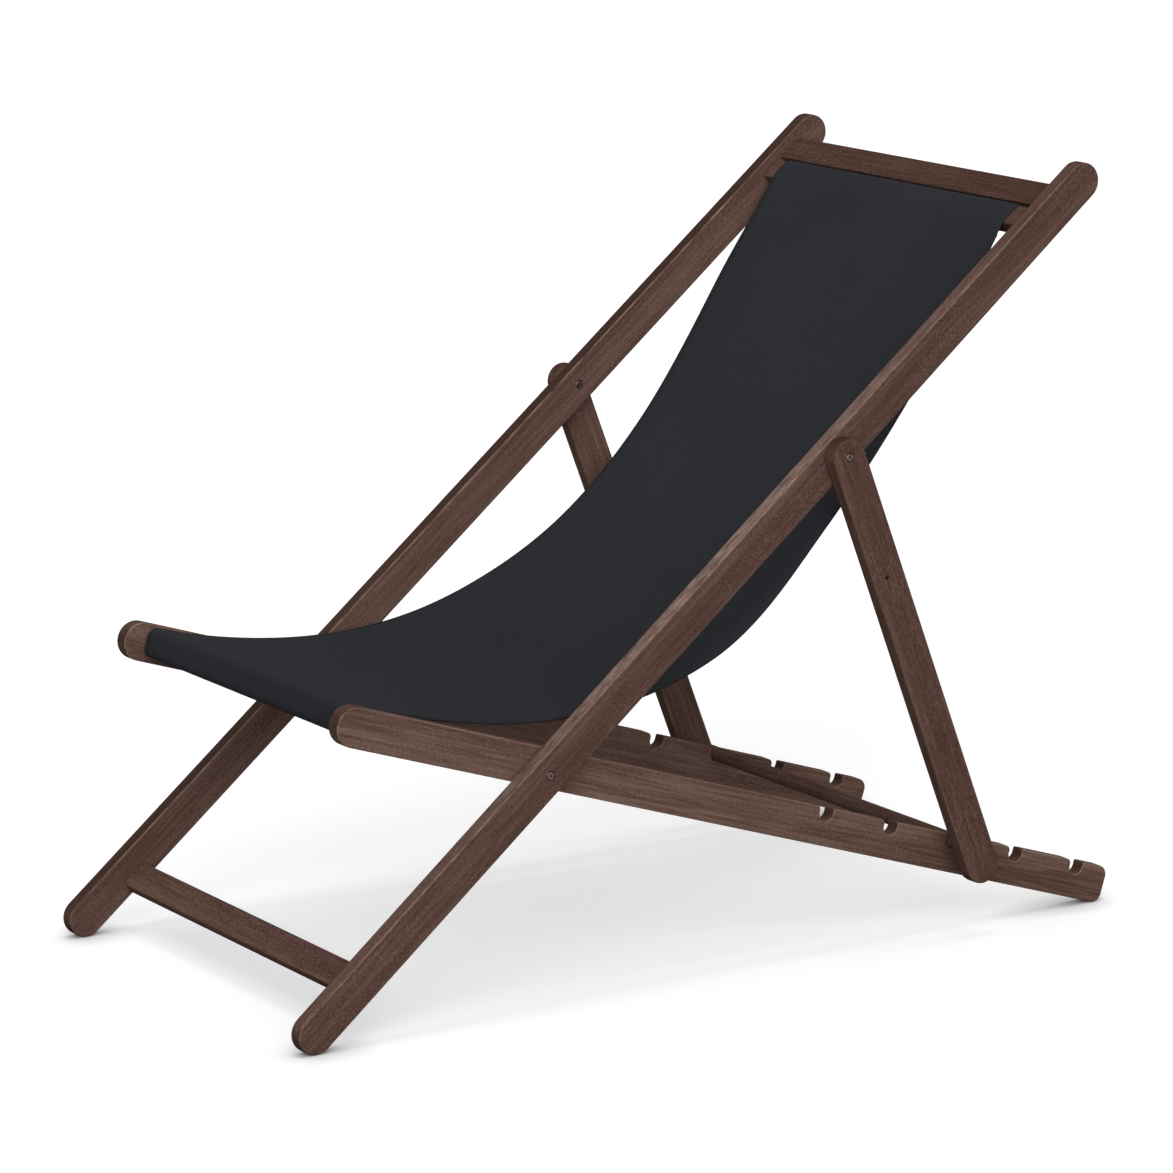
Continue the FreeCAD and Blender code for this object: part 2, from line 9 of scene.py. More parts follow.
# %% Load the frame
import json
import math
import bmesh
import bpy
from mathutils import Matrix, Vector, geometry, noise
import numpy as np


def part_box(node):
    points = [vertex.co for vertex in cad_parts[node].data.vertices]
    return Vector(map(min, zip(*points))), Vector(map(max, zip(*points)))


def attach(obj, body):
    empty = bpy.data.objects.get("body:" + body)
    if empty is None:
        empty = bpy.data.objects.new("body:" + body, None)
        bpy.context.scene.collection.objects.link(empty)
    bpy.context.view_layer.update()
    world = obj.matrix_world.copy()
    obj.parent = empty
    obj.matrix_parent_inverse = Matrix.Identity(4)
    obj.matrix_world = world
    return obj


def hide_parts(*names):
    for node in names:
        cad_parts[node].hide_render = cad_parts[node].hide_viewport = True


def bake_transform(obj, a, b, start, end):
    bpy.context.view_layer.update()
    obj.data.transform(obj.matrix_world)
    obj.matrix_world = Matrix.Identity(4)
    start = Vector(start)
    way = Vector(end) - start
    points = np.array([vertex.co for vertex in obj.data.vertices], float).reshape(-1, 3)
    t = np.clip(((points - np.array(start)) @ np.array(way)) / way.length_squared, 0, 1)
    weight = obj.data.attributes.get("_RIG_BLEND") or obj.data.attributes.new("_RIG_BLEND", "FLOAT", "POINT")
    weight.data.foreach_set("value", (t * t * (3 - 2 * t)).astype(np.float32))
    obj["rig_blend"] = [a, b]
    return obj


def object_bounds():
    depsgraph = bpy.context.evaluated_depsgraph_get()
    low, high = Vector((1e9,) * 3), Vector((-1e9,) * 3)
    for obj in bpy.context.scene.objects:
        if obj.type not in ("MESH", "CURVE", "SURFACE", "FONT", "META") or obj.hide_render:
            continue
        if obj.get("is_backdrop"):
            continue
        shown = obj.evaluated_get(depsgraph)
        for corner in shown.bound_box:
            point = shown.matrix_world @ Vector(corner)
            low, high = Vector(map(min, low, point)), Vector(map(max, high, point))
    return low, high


MM = 0.001
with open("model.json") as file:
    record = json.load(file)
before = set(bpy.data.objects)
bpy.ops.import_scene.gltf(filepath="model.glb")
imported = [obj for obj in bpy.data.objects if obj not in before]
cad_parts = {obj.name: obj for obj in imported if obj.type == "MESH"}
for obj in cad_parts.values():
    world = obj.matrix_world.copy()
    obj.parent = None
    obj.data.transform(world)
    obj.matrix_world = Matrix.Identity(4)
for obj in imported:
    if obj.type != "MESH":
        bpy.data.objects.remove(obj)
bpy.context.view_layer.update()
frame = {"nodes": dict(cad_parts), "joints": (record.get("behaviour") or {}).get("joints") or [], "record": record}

# %% [markdown]
# ## Where the boards lie
#
# Each rail is easiest to draw lying flat, with its pivot at zero, and then to turn to its slope. Both
# hinges lie on the back rails' middle line, so they give that slope. The prop bar lies on the struts'
# middle line, and the first and last notches lie along the seat rails. Slopes read from the model keep the
# drawn boards on its solids, in whichever notch the bar lies.

# %% Slopes and pivots
hinges = {joint["name"]: Vector(joint["pos_m"]) for joint in frame["joints"]}
openings = {opening["name"]: opening["box_m"] for opening in frame["record"]["physics"]["openings"]}
seat_pivot = hinges["seat_hinge"]
prop_pivot = hinges["prop_hinge"]


def middle(corners):
    """The middle of a box that is given by two corners."""
    return (Vector(corners[0]) + Vector(corners[1])) / 2


def slope(a, b):
    """The slope of the line from a to b, seen from the side."""
    return math.atan2(b.z - a.z, b.y - a.y)


back_slope = slope(seat_pivot, prop_pivot)
seat_slope = slope(middle(openings["notch_1"]), middle(openings["notch_5"]))
prop_slope = slope(prop_pivot, middle(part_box("prop_cross_bar")))


def lying(pivot, angle):
    """Matrix that takes a board drawn along Y, with its pivot at zero, to its place."""
    return Matrix.Translation(pivot) @ Matrix.Rotation(angle, 4, "X")


on_back = lying(seat_pivot, back_slope)
on_seat = lying(seat_pivot, seat_slope)
on_prop = lying(prop_pivot, prop_slope)


def in_rail(point, place):
    """A point of the chair as (along, across) in the coordinates of a rail."""
    spot = place.inverted() @ point
    return spot.y, spot.z


print("slopes", [round(math.degrees(a), 2) for a in (back_slope, seat_slope, prop_slope)])

# %% [markdown]
# ## One outline, one board
#
# A carpenter saws a rail's side view out of board and then rounds the sharp arrises over. The same order
# works here: draw the outline point by point, with each round end as a spin of the last point, fill it,
# extrude it by the board's thickness and bevel the rim. A Bevel modifier would do the last step too, but
# the operator also tells which faces it made, and those are where handling rubs the stain off. They get a
# wear value, which also paints a highlight along the crest of each round. The round ends cut across the
# grain and soak up more stain, so they get an end value, which also paints the shade on those ends.

# %% Draw, thicken and mark a board
ARC_STEP = math.radians(7.5)
LEAST_ARC_STEPS = 3
ARRIS_SEGMENTS = 4
TOUCHING = 1e-6
# On the crest of a round, where the normal leans by 45 degrees, its largest part is this much below 1.
CREST = 1 - math.sqrt(0.5)


def verts_of(elements):
    """The vertices among the elements that an operator returns."""
    return [element for element in elements if isinstance(element, bmesh.types.BMVert)]


def trace(bm, start, steps):
    """Draw an outline: each step is a point to go to, or (centre, degrees) for an arc about a centre."""
    tip = bm.verts.new((0, *start))
    for step in steps:
        if isinstance(step[0], tuple):
            centre, degrees = step
            turn = math.radians(degrees)
            count = max(LEAST_ARC_STEPS, round(abs(turn) / ARC_STEP))
            swept = bmesh.ops.spin(bm, geom=[tip], cent=(0, *centre), axis=(1, 0, 0), angle=turn, steps=count)
            tip = verts_of(swept["geom_last"])[0]
        else:
            tip = bmesh.ops.extrude_vert_indiv(bm, verts=[tip])["verts"][0]
            tip.co = (0, *step)
    bmesh.ops.remove_doubles(bm, verts=bm.verts[:], dist=TOUCHING)


def thicken(bm, low, high, arris):
    """Fill the outline, extrude it from x = low to x = high and round its rim; returns the rim's faces."""
    bmesh.ops.contextual_create(bm, geom=bm.edges[:])
    bmesh.ops.translate(bm, verts=bm.verts[:], vec=(low, 0, 0))
    grown = bmesh.ops.extrude_face_region(bm, geom=bm.faces[:])["geom"]
    bmesh.ops.translate(bm, verts=verts_of(grown), vec=(high - low, 0, 0))
    bmesh.ops.recalc_face_normals(bm, faces=bm.faces[:])
    rim = [e for e in bm.edges if abs(e.verts[0].co.x - e.verts[1].co.x) < TOUCHING]
    rounded = bmesh.ops.bevel(bm, geom=rim, offset=arris, affect="EDGES", segments=ARRIS_SEGMENTS,
                              profile=0.5, material=-1)
    return rounded["faces"]


def mark(bm, worn, grain):
    """Mark the worn rounds, 1 on their crest, for rubbed wood and a painted highlight, and the end value, 1 where
    a surface cuts across the grain, for soaked wood and painted shade.
    """
    wear_and_highlight = bm.verts.layers.float.new("wear_and_highlight")
    end = bm.verts.layers.float.new("end")
    worn = set(worn)
    bm.normal_update()
    for v in bm.verts:
        crest = min((1 - max(map(abs, v.normal))) / CREST, 1.0)
        v[wear_and_highlight] = crest * all(face in worn for face in v.link_faces)
        v[end] = v.normal.dot(grain) ** 2


print(f"a half-round end has {round(math.pi / ARC_STEP)} steps and an arris has {ARRIS_SEGMENTS}")

# %% [markdown]
# The holes for the bolts are drilled last, as in a workshop, so that no outline has to go round them. A
# Boolean with a long round drill does it. Its result becomes the board's own mesh at once, and the drill is
# deleted, so no live cutter stays in the scene.

# %% Make an object and drill it
QUARTER = math.radians(90)
ROUND_SEGMENTS = 32
DRILL_LENGTH = 1.0


def piece(name, bm, place=Matrix()):
    """Put a finished bmesh in its place and make it a smooth object."""
    bmesh.ops.transform(bm, matrix=place, verts=bm.verts[:])
    mesh = bpy.data.meshes.new(name)
    bm.to_mesh(mesh)
    bm.free()
    mesh.shade_smooth()
    made = bpy.data.objects.new(name, mesh)
    bpy.context.scene.collection.objects.link(made)
    return made


def across_chair(spot):
    """Matrix that lays an upright round bar across the chair at a spot."""
    return Matrix.Translation(spot) @ Matrix.Rotation(QUARTER, 4, "Y")


def bore(board, radius, pivot):
    """Drill a hole across the chair through a board, at a pivot."""
    bm = bmesh.new()
    bmesh.ops.create_cone(bm, cap_ends=True, segments=ROUND_SEGMENTS, radius1=radius, radius2=radius,
                          depth=DRILL_LENGTH)
    drill = piece("drill", bm, across_chair(pivot))
    cut = board.modifiers.new("bore", "BOOLEAN")
    cut.object = drill
    cut.solver = "EXACT"
    drilled = board.evaluated_get(bpy.context.evaluated_depsgraph_get())
    mesh = bpy.data.meshes.new_from_object(drilled)
    board.modifiers.remove(cut)
    board.data = mesh
    bpy.data.objects.remove(drill)


print("holes are cut at", [tuple(round(v, 3) for v in pivot.yz) for pivot in (seat_pivot, prop_pivot)])

# %% [markdown]
# ## Colours and nodes
#
# Colours are written as they look on a screen and turned to linear light by one function. One more function
# adds a shader node with its settings and links, which keeps each finish below short enough to read. A
# finish is often one colour with others laid over it, such as dirt, pores or stitches, each by its own
# share.


# %% Colour and node helpers
def linear(code):
    """A hex colour as linear red, green, blue and alpha."""
    def channel(text):
        v = int(text, 16) / 255
        return v / 12.92 if v <= 0.04045 else ((v + 0.055) / 1.055) ** 2.4
    return (*(channel(code[i:i + 2]) for i in (1, 3, 5)), 1.0)


def node(tree, kind, inputs=None, stops=(), **settings):
    """Add a node, set its properties, set or link its inputs; stops are a ramp's (position, hex colour)."""
    made = tree.nodes.new(kind)
    for key, value in settings.items():
        setattr(made, key, value)
    for key, value in (inputs or {}).items():
        if isinstance(value, bpy.types.NodeSocket):
            tree.links.new(value, made.inputs[key])
        else:
            made.inputs[key].default_value = value
    for i, (position, code) in enumerate(stops):
        elements = made.color_ramp.elements
        element = elements[i] if i < 2 else elements.new(position)
        element.position = position
        element.color = linear(code)
    return made


def covered(tree, colour, layers):
    """A colour with layers of (share, hex colour) laid over it in turn."""
    for share, code in layers:
        laid = node(tree, "ShaderNodeMix", {"Factor": share, "A": colour, "B": linear(code)},
                    data_type="RGBA")
        colour = laid.outputs["Result"]
    return colour


def finish_named(name):
    """A new material with its node tree and Principled shader."""
    material = bpy.data.materials.new(name)
    material.use_nodes = True
    return material, material.node_tree, material.node_tree.nodes["Principled BSDF"]


print("mid grey on a screen is", round(linear("#808080")[0], 3), "in linear light")

# %% [markdown]
# ## Stained hardwood
#
# The boards are a light hardwood under a thin dark brown stain, planed, sanded and left open-pored. The
# stain soaks into the soft early wood more than into the dense late wood, so the eye sees streaks along the
# grain a few millimetres apart, patches of short pore dashes, pale broken lines where handling has rubbed
# the arrises, which also serve as painted highlights, and darker ends, which also carry painted shade. An
# image texture would show this too, but a noise stretched along the board works at any size and never
# repeats. The pores of such wood are about a third of a millimetre wide, too fine to show here, so they are
# drawn about three times as wide.

# %% Grain of one board
STREAK_WIDTH = 3.4 * MM
STREAK_STRETCH = 26
PORE_WIDTH = 0.9 * MM
PORE_STRETCH = 4
TONE_WIDTH = 30 * MM
PORE_PATCH = 110 * MM
RUB_SIZE = 6 * MM
SEED_STEP = 7.31


def grain_patterns(tree, place, turn, seed):
    """Noises of a board: tone and streak run far along the grain, pore and rub a little, patch not at all."""
    moved = [seed * SEED_STEP] * 3
    board = node(tree, "ShaderNodeMapping", {"Vector": place, "Rotation": turn, "Location": moved})
    even = board.outputs["Vector"]
    long = node(tree, "ShaderNodeMapping", {"Vector": even, "Scale": (1, 1 / STREAK_STRETCH, 1)})
    long = long.outputs["Vector"]
    short = node(tree, "ShaderNodeMapping", {"Vector": even, "Scale": (1, 1 / PORE_STRETCH, 1)})
    short = short.outputs["Vector"]
    noises = {
        "tone": {"Vector": long, "Scale": 1 / TONE_WIDTH, "Detail": 2.0},
        "streak": {"Vector": long, "Scale": 1 / STREAK_WIDTH, "Detail": 5.0, "Roughness": 0.6,
                   "Distortion": 0.3},
        "pore": {"Vector": short, "Scale": 1 / PORE_WIDTH, "Detail": 2.0},
        "rub": {"Vector": short, "Scale": 1 / RUB_SIZE, "Detail": 6.0, "Roughness": 0.7},
        "patch": {"Vector": even, "Scale": 1 / PORE_PATCH, "Detail": 2.0}}
    return {key: node(tree, "ShaderNodeTexNoise", inputs).outputs["Fac"] for key, inputs in noises.items()}


print(f"streaks are {STREAK_WIDTH / MM:.1f} mm wide and pores {PORE_WIDTH / MM:.1f} mm")

# %% [markdown]
# The stain is a ramp of four browns. The streaks choose between them, together with a slower change of
# tone, so that no long stretch of a board looks even.

# %% The stain
STAIN = ("#4B352D", "#604840", "#7A6156", "#98837B")
STAIN_MIDDLE = 0.5
STAIN_SPREAD = 0.22
TONE_SHARE = 0.4


def stain_colour(tree, grain, depth, contrast):
    """Brown stain, darkest where the wood soaked up most; contrast brings the four browns closer together."""
    mixed = node(tree, "ShaderNodeMix", {"Factor": TONE_SHARE, "A": grain["streak"], "B": grain["tone"]},
                 data_type="FLOAT")
    second = STAIN_MIDDLE + depth
    spread = STAIN_SPREAD / contrast
    stops = [(second + (i - 1) * spread, code) for i, code in enumerate(STAIN)]
    return node(tree, "ShaderNodeValToRGB", {"Fac": mixed.outputs["Result"]}, stops).outputs["Color"]


print("browns from soaked to bare:", *STAIN)

# %% [markdown]
# What lies on the stain is listed from the bottom up: the dark dashes of the pores, the pale flecks of bare
# wood beside them, which come in patches, the soaked ends with painted shade, and the rubbed arrises with a
# painted highlight.

# %% What lies on the stain
PORE_DASH = "#2C1C16"
# Dark end grain: stain soaked in, and also painted shade on the round ends.
PORE_FLECK = "#877167"
SOAKED_AND_SHADED_END = "#2E1D17"
END_SOAK_AND_SHADE = 0.6
# Pale rubbed wood, which also paints the highlight along the crest of each round.
BARE_WOOD_AND_HIGHLIGHT = "#A08B7F"


def over_the_stain(tree, grain, rub_and_highlight_level):
    """The layers on the stain as (share, colour): pore dashes, pale flecks, soaked ends with painted shade, rubbed
    arrises with a painted highlight.
    """
    dash = node(tree, "ShaderNodeMapRange", {"Value": grain["pore"], "From Min": 0.52, "From Max": 0.75,
                                             "To Max": 0.5})
    open_pored = node(tree, "ShaderNodeMapRange", {"Value": grain["patch"], "From Min": 0.4,
                                                   "From Max": 0.6, "To Min": 0.2, "To Max": 0.8})
    fleck = node(tree, "ShaderNodeMapRange", {"Value": grain["pore"], "From Min": 0.46, "From Max": 0.25,
                                              "To Max": open_pored.outputs["Result"]})
    # The ends: soaked end grain, and painted shade on the round ends.
    end = node(tree, "ShaderNodeAttribute", attribute_name="end").outputs["Fac"]
    soaked = node(tree, "ShaderNodeMath", {0: end, 1: END_SOAK_AND_SHADE}, operation="MULTIPLY")
    wear_and_highlight = node(tree, "ShaderNodeAttribute", attribute_name="wear_and_highlight").outputs["Fac"]
    broken = node(tree, "ShaderNodeMapRange", {"Value": grain["rub"], "From Min": 0.36, "From Max": 0.62,
                                               "To Max": rub_and_highlight_level})
    # The rubbed arrises: bare wood, and a painted highlight along the crest of each round.
    rubbed_and_highlit = node(tree, "ShaderNodeMath", {0: wear_and_highlight, 1: broken.outputs["Result"]}, operation="MULTIPLY")
    return [(dash.outputs["Result"], PORE_DASH), (fleck.outputs["Result"], PORE_FLECK),
            (soaked.outputs["Value"], SOAKED_AND_SHADED_END), (rubbed_and_highlit.outputs["Value"], BARE_WOOD_AND_HIGHLIGHT)]


print("laid over the stain:", PORE_DASH, PORE_FLECK, SOAKED_AND_SHADED_END, BARE_WOOD_AND_HIGHLIGHT)

# %% [markdown]
# Stain and layers together make the finish of a board. One board also has a pin knot, which is a dark round
# spot. The sanded surface scatters nearly all its light, so the finish has no mirror part.

# %% The wood finish
PIN_KNOT_DARK = "#2A1A13"
KNOT_WIDTH = 6 * MM
RELIEF_DEPTH = 0.25 * MM


def stained_wood(name, turn, seed, depth, rub_and_highlight_level, contrast, knot):
    """Matt brown wood: turn brings the grain to Y, depth darkens the stain, the rub level bares the arrises
    and paints their highlight, contrast makes the streaks bolder, and knot is the place of a pin knot, if the
    board has one."""
    material, tree, shader = finish_named(name)
    place = node(tree, "ShaderNodeTexCoord").outputs["Object"]
    grain = grain_patterns(tree, place, turn, seed)
    layers = over_the_stain(tree, grain, rub_and_highlight_level)
    if knot:
        gap = node(tree, "ShaderNodeVectorMath", {0: place, 1: knot}, operation="DISTANCE")
        spot = node(tree, "ShaderNodeMapRange", {"Value": gap.outputs["Value"], "From Min": KNOT_WIDTH / 2,
                                                 "From Max": KNOT_WIDTH / 4})
        layers.append((spot.outputs["Result"], PIN_KNOT_DARK))
    colour = covered(tree, stain_colour(tree, grain, depth, contrast), layers)
    dull = node(tree, "ShaderNodeMapRange", {"Value": grain["streak"], "From Min": 0.3, "From Max": 0.7,
                                             "To Min": 0.68, "To Max": 0.54})
    relief = node(tree, "ShaderNodeMix", {"Factor": 0.5, "A": grain["streak"], "B": grain["pore"]},
                  data_type="FLOAT")
    bump = node(tree, "ShaderNodeBump", {"Height": relief.outputs["Result"], "Strength": 0.45,
                                         "Distance": RELIEF_DEPTH})
    tree.links.new(colour, shader.inputs["Base Color"])
    tree.links.new(dull.outputs["Result"], shader.inputs["Roughness"])
    tree.links.new(bump.outputs["Normal"], shader.inputs["Normal"])
    shader.inputs["Specular IOR Level"].default_value = 0.0
    return material


print(f"the grain is up to {RELIEF_DEPTH / MM:.2f} mm deep, and the knot is {KNOT_WIDTH / MM:.0f} mm wide")

# %% [markdown]
# Every board is finished in the same few steps. Its material turns the grain along the board and has a seed
# of its own, so that no two boards look sawn from one place. A Weighted Normal modifier keeps the flat
# faces flat beside the round arrises. Then the board is put on the frame that carries it.

# %% Finish a board
EVEN = 0.0
SOME_RUB = 0.25
PLAIN = 1.0
ALONG_X = (0, 0, QUARTER)
ALONG_BACK = (-back_slope, 0, 0)
ALONG_SEAT = (-seat_slope, 0, 0)
ALONG_PROP = (-prop_slope, 0, 0)
BOARD_COUNT = 12
seeds = iter(range(1, BOARD_COUNT + 1))


def wooden(made, name, body, turn, depth=EVEN, rub_and_highlight_level=SOME_RUB, contrast=PLAIN, knot=None):
    """Finish a board: its wood, the node that it stands for and the frame that it moves with."""
    made.data.materials.clear()
    finish = stained_wood("stained_wood_" + name, turn, next(seeds), depth, rub_and_highlight_level, contrast, knot)
    made.data.materials.append(finish)
    flats = made.modifiers.new("keep_flats_flat", "WEIGHTED_NORMAL")
    flats.keep_sharp = True
    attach(made, body)
    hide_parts(name)
    print(f"{made.name}: {len(made.data.polygons)} faces")


print(f"{BOARD_COUNT} boards get a finish of their own")

# %% [markdown]
# ## Back rails and prop struts
#
# The two long rails stand on the floor at the front and carry the head end at the back, and the struts hang
# outside them from the upper bolts. All four have full half-round ends, so the outline is two straight runs
# and two arcs. The runs have a few points along them, because the arms that rest on a rail rub the stain
# off its front edge halfway up, and a value on those points can grow and fade along the rail.

# %% Shape a rail with half-round ends
ARRIS = 2.4 * MM
GRAIN_Y = Vector((0, 1, 0))
RAIL_STEPS = 10
END_WEAR = 0.3
END_FADE = 0.1


def treat_edges(bm, first, last, rubbed, soaked):
    """Rub a rail's front edge, most halfway along, or soak it; few hands reach the round ends."""
    wear_and_highlight = bm.verts.layers.float["wear_and_highlight"]
    end = bm.verts.layers.float["end"]
    for v in bm.verts:
        share = min(max((v.co.y - first) / (last - first), 0.0), 1.0)
        facing = max(v.normal.z, 0.0) ** 2
        reached = min(share / END_FADE, (1 - share) / END_FADE, 1.0)
        v[wear_and_highlight] = max(v[wear_and_highlight], rubbed * facing * math.sin(math.pi * share) ** 2)
        v[wear_and_highlight] *= END_WEAR + (1 - END_WEAR) * reached
        v[end] = max(v[end], soaked * facing)


def half_round_rail(name, first, last, half, place, rubbed=0.0, soaked=0.0):
    """A rail in the place of a node, whose round ends have their centres at first and last along it."""
    low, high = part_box(name)
    spots = [first + (last - first) * i / RAIL_STEPS for i in range(RAIL_STEPS + 1)]
    under = [(spot, -half) for spot in spots[1:]]
    over = [(spot, half) for spot in reversed(spots[:-1])]
    bm = bmesh.new()
    trace(bm, (first, -half), [*under, ((last, 0), 180), *over, ((first, 0), 180)])
    mark(bm, thicken(bm, low.x, high.x, ARRIS), GRAIN_Y)
    treat_edges(bm, first, last, rubbed, soaked)
    return piece("wood_" + name, bm, place)


print(f"arrises are rounded by {ARRIS / MM:.1f} mm")

# %% [markdown]
# In the photo the rubbed edge shows on the left rail only; the right one has kept a dark edge. The left
# strut has a pin knot in its outer face. Each board has a hole at its pivots, a little wider than the
# bolt's head or nut that sits sunk in it, which leaves a thin dark ring.

# %% Back rails and struts
BACK_RAIL_DEPTH = 40 * MM
PROP_STRUT_DEPTH = 39 * MM
HEAD_HOLE_RADIUS = 5.2 * MM
MUCH_RUB = 0.7
FRONT_EDGES = {"left": {"rubbed": 1.0, "soaked": 0.0}, "right": {"rubbed": 0.0, "soaked": 1.0}}
BACK_RAIL_TONES = {"left": -0.03, "right": -0.05}
STRUT_TONES = {"left": 0.03, "right": -0.04}
PIN_KNOT = (139 * MM, -3 * MM)

for side in ("left", "right"):
    name = "back_rail_" + side
    low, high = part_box(name)
    half = BACK_RAIL_DEPTH / 2
    foot = in_rail(Vector((0, low.y + half, low.z + half)), on_back)[0]
    head = in_rail(Vector((0, high.y - half, high.z - half)), on_back)[0]
    rail = half_round_rail(name, foot, head, half, on_back, **FRONT_EDGES[side])
    bore(rail, HEAD_HOLE_RADIUS, seat_pivot)
    bore(rail, HEAD_HOLE_RADIUS, prop_pivot)
    wooden(rail, name, "back_frame", ALONG_BACK, BACK_RAIL_TONES[side], MUCH_RUB)

for side in ("left", "right"):
    name = "prop_strut_" + side
    low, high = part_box(name)
    half = PROP_STRUT_DEPTH / 2
    toe = in_rail(Vector((0, high.y - half, low.z + half)), on_prop)[0]
    strut = half_round_rail(name, 0, toe, half, on_prop)
    bore(strut, HEAD_HOLE_RADIUS, prop_pivot)
    knot = on_prop @ Vector((high.x, *PIN_KNOT)) if side == "left" else None
    wooden(strut, name, "prop_frame", ALONG_PROP, STRUT_TONES[side], knot=knot)

# %% [markdown]
# ## Seat rails
#
# The seat rails have a round nose at the front, a square tail with round corners on the floor, and five
# notches near the tail. A notch has a round floor for the bar, a steep heel behind it that takes the load,
# and a lead-in at the front that lets the bar ride out when the back is lifted. They could be cut with a
# drill and a saw; drawing them into the outline instead lets the rim bevel ease their edges as well.

# %% Seat rails
SEAT_RAIL_LENGTH = 1000 * MM
SEAT_RAIL_DEPTH = 41 * MM
TAIL_ROUND = 11 * MM
FIRST_NOTCH = 365.4 * MM
NOTCH_PITCH = 86.8 * MM
NOTCH_COUNT = 5
NOTCH_DEPTH = 15 * MM
NOTCH_HALF = 8.5 * MM
NOTCH_LEAD = 5 * MM
NOTCH_HEEL = 2 * MM
NOTCH_ARRIS = 1.6 * MM
PALE = -0.06
BOLD = 1.35


def notch_steps(place, top):
    """Outline of one notch, drawn from its heel at the back to its lead-in at the front."""
    floor = top - NOTCH_DEPTH + NOTCH_HALF
    heel = place + NOTCH_HALF
    front = place - NOTCH_HALF
    return [(heel + NOTCH_HEEL, top), ((heel + NOTCH_HEEL, top - NOTCH_HEEL), 90), (heel, floor),
            ((place, floor), -180), (front, top - NOTCH_LEAD), ((front - NOTCH_LEAD, top - NOTCH_LEAD), 90)]


for side in ("left", "right"):
    name = "seat_rail_" + side
    low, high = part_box(name)
    half = SEAT_RAIL_DEPTH / 2
    nose, mid = in_rail(Vector((0, low.y + half, high.z - half)), on_seat)
    tail = nose - half + SEAT_RAIL_LENGTH
    corner = tail - TAIL_ROUND
    steps = [(corner, mid - half), ((corner, mid - half + TAIL_ROUND), 90), (tail, mid + half - TAIL_ROUND),
             ((corner, mid + half - TAIL_ROUND), 90)]
    for i in reversed(range(NOTCH_COUNT)):
        steps += notch_steps(FIRST_NOTCH + i * NOTCH_PITCH, mid + half)
    steps += [(nose, mid + half), ((nose, mid), 180)]
    bm = bmesh.new()
    trace(bm, (nose, mid - half), steps)
    mark(bm, thicken(bm, low.x, high.x, NOTCH_ARRIS), GRAIN_Y)
    rail = piece("wood_" + name, bm, on_seat)
    bore(rail, HEAD_HOLE_RADIUS, seat_pivot)
    wooden(rail, name, "seat_frame", ALONG_SEAT, PALE, MUCH_RUB, BOLD)

# %% [markdown]
# ## Cross slats and bars
#
# Five flat slats and one round bar hold the pairs of rails apart. Their long edges are what shows, so here
# the rounds are part of the outline, which runs across the chair from rail to rail, and the faces of those
# rounds carry the wear and its painted highlight. Their stub tenons are hidden in the rails and stay with
# the solids.

# %% Shape a slat
SLAT_EDGE = 2.5 * MM
END_EASE = 0.3 * MM
GRAIN_X = Vector((1, 0, 0))
# A face is on a round if its normal leans by more than this both along and across the slat's section.
LEAN = 0.02


def slat_outline(bm, half_s, half_n, front):
    """Outline of a slat about its middle; its two front edges have a round of their own."""
    back = SLAT_EDGE
    trace(bm, (-half_s + front, -half_n), [
        (half_s - back, -half_n), ((half_s - back, -half_n + back), 90),
        (half_s, half_n - back), ((half_s - back, half_n - back), 90),
        (-half_s + front, half_n), ((-half_s + front, half_n - front), 90),
        (-half_s, -half_n + front), ((-half_s + front, -half_n + front), 90)])


def slat(name, size, centre, reach, place, body, front=SLAT_EDGE, depth=EVEN):
    """A slat centred at a spot in its rail's coordinates, reaching from rail to rail."""
    bm = bmesh.new()
    slat_outline(bm, size[0] / 2, size[1] / 2, front)
    thicken(bm, -reach, reach, END_EASE)
    bm.normal_update()
    rounds = [f for f in bm.faces if abs(f.normal.y) > LEAN and abs(f.normal.z) > LEAN]
    mark(bm, rounds, GRAIN_X)
    made = piece("wood_" + name, bm, place @ Matrix.Translation((0, *centre)))
    wooden(made, name, body, ALONG_X, depth)


print(f"slat edges are rounded by {SLAT_EDGE / MM:.1f} mm")

# %% [markdown]
# In the photo the upper top slat is the darkest board, so it gets a deeper stain. The front seat slat has a
# fuller round on its front edges, where the cloth bends over it.

# %% Cross slats
UPPER_SLAT = (31.5 * MM, 18 * MM)
LOWER_SLAT = (26 * MM, 18 * MM)
FOOT_BAR = (31.5 * MM, 16 * MM)
FRONT_SLAT = (18 * MM, 27.8 * MM)
REAR_SLAT = (18 * MM, 16 * MM)
NOSE_EDGE = 7 * MM
DARK = 0.16
FRONT_SLAT_CENTRE = (-210.5 * MM, 6.55 * MM)

back_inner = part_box("back_rail_left")[0].x
seat_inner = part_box("seat_rail_left")[0].x
upper_centre = in_rail(middle(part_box("top_slat_upper")), on_back)
lower_centre = in_rail(middle(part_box("top_slat_lower")), on_back)
foot_centre = in_rail(middle(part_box("foot_cross_bar")), on_back)
rear_centre = in_rail(middle(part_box("seat_rear_slat")), on_seat)
slat("top_slat_upper", UPPER_SLAT, upper_centre, back_inner, on_back, "back_frame", depth=DARK)
slat("top_slat_lower", LOWER_SLAT, lower_centre, back_inner, on_back, "back_frame")
slat("foot_cross_bar", FOOT_BAR, foot_centre, back_inner, on_back, "back_frame")
slat("seat_front_slat", FRONT_SLAT, FRONT_SLAT_CENTRE, seat_inner, on_seat, "seat_frame", NOSE_EDGE)
slat("seat_rear_slat", REAR_SLAT, rear_centre, seat_inner, on_seat, "seat_frame")

# %% [markdown]
# The prop bar and the two dowels in the cloth's sleeves are round. A cylinder from the cone operator with a
# bevel on its two end circles is all that they are. The dowels are bare beech, pale with short dark flecks,
# and only their ends can be seen.

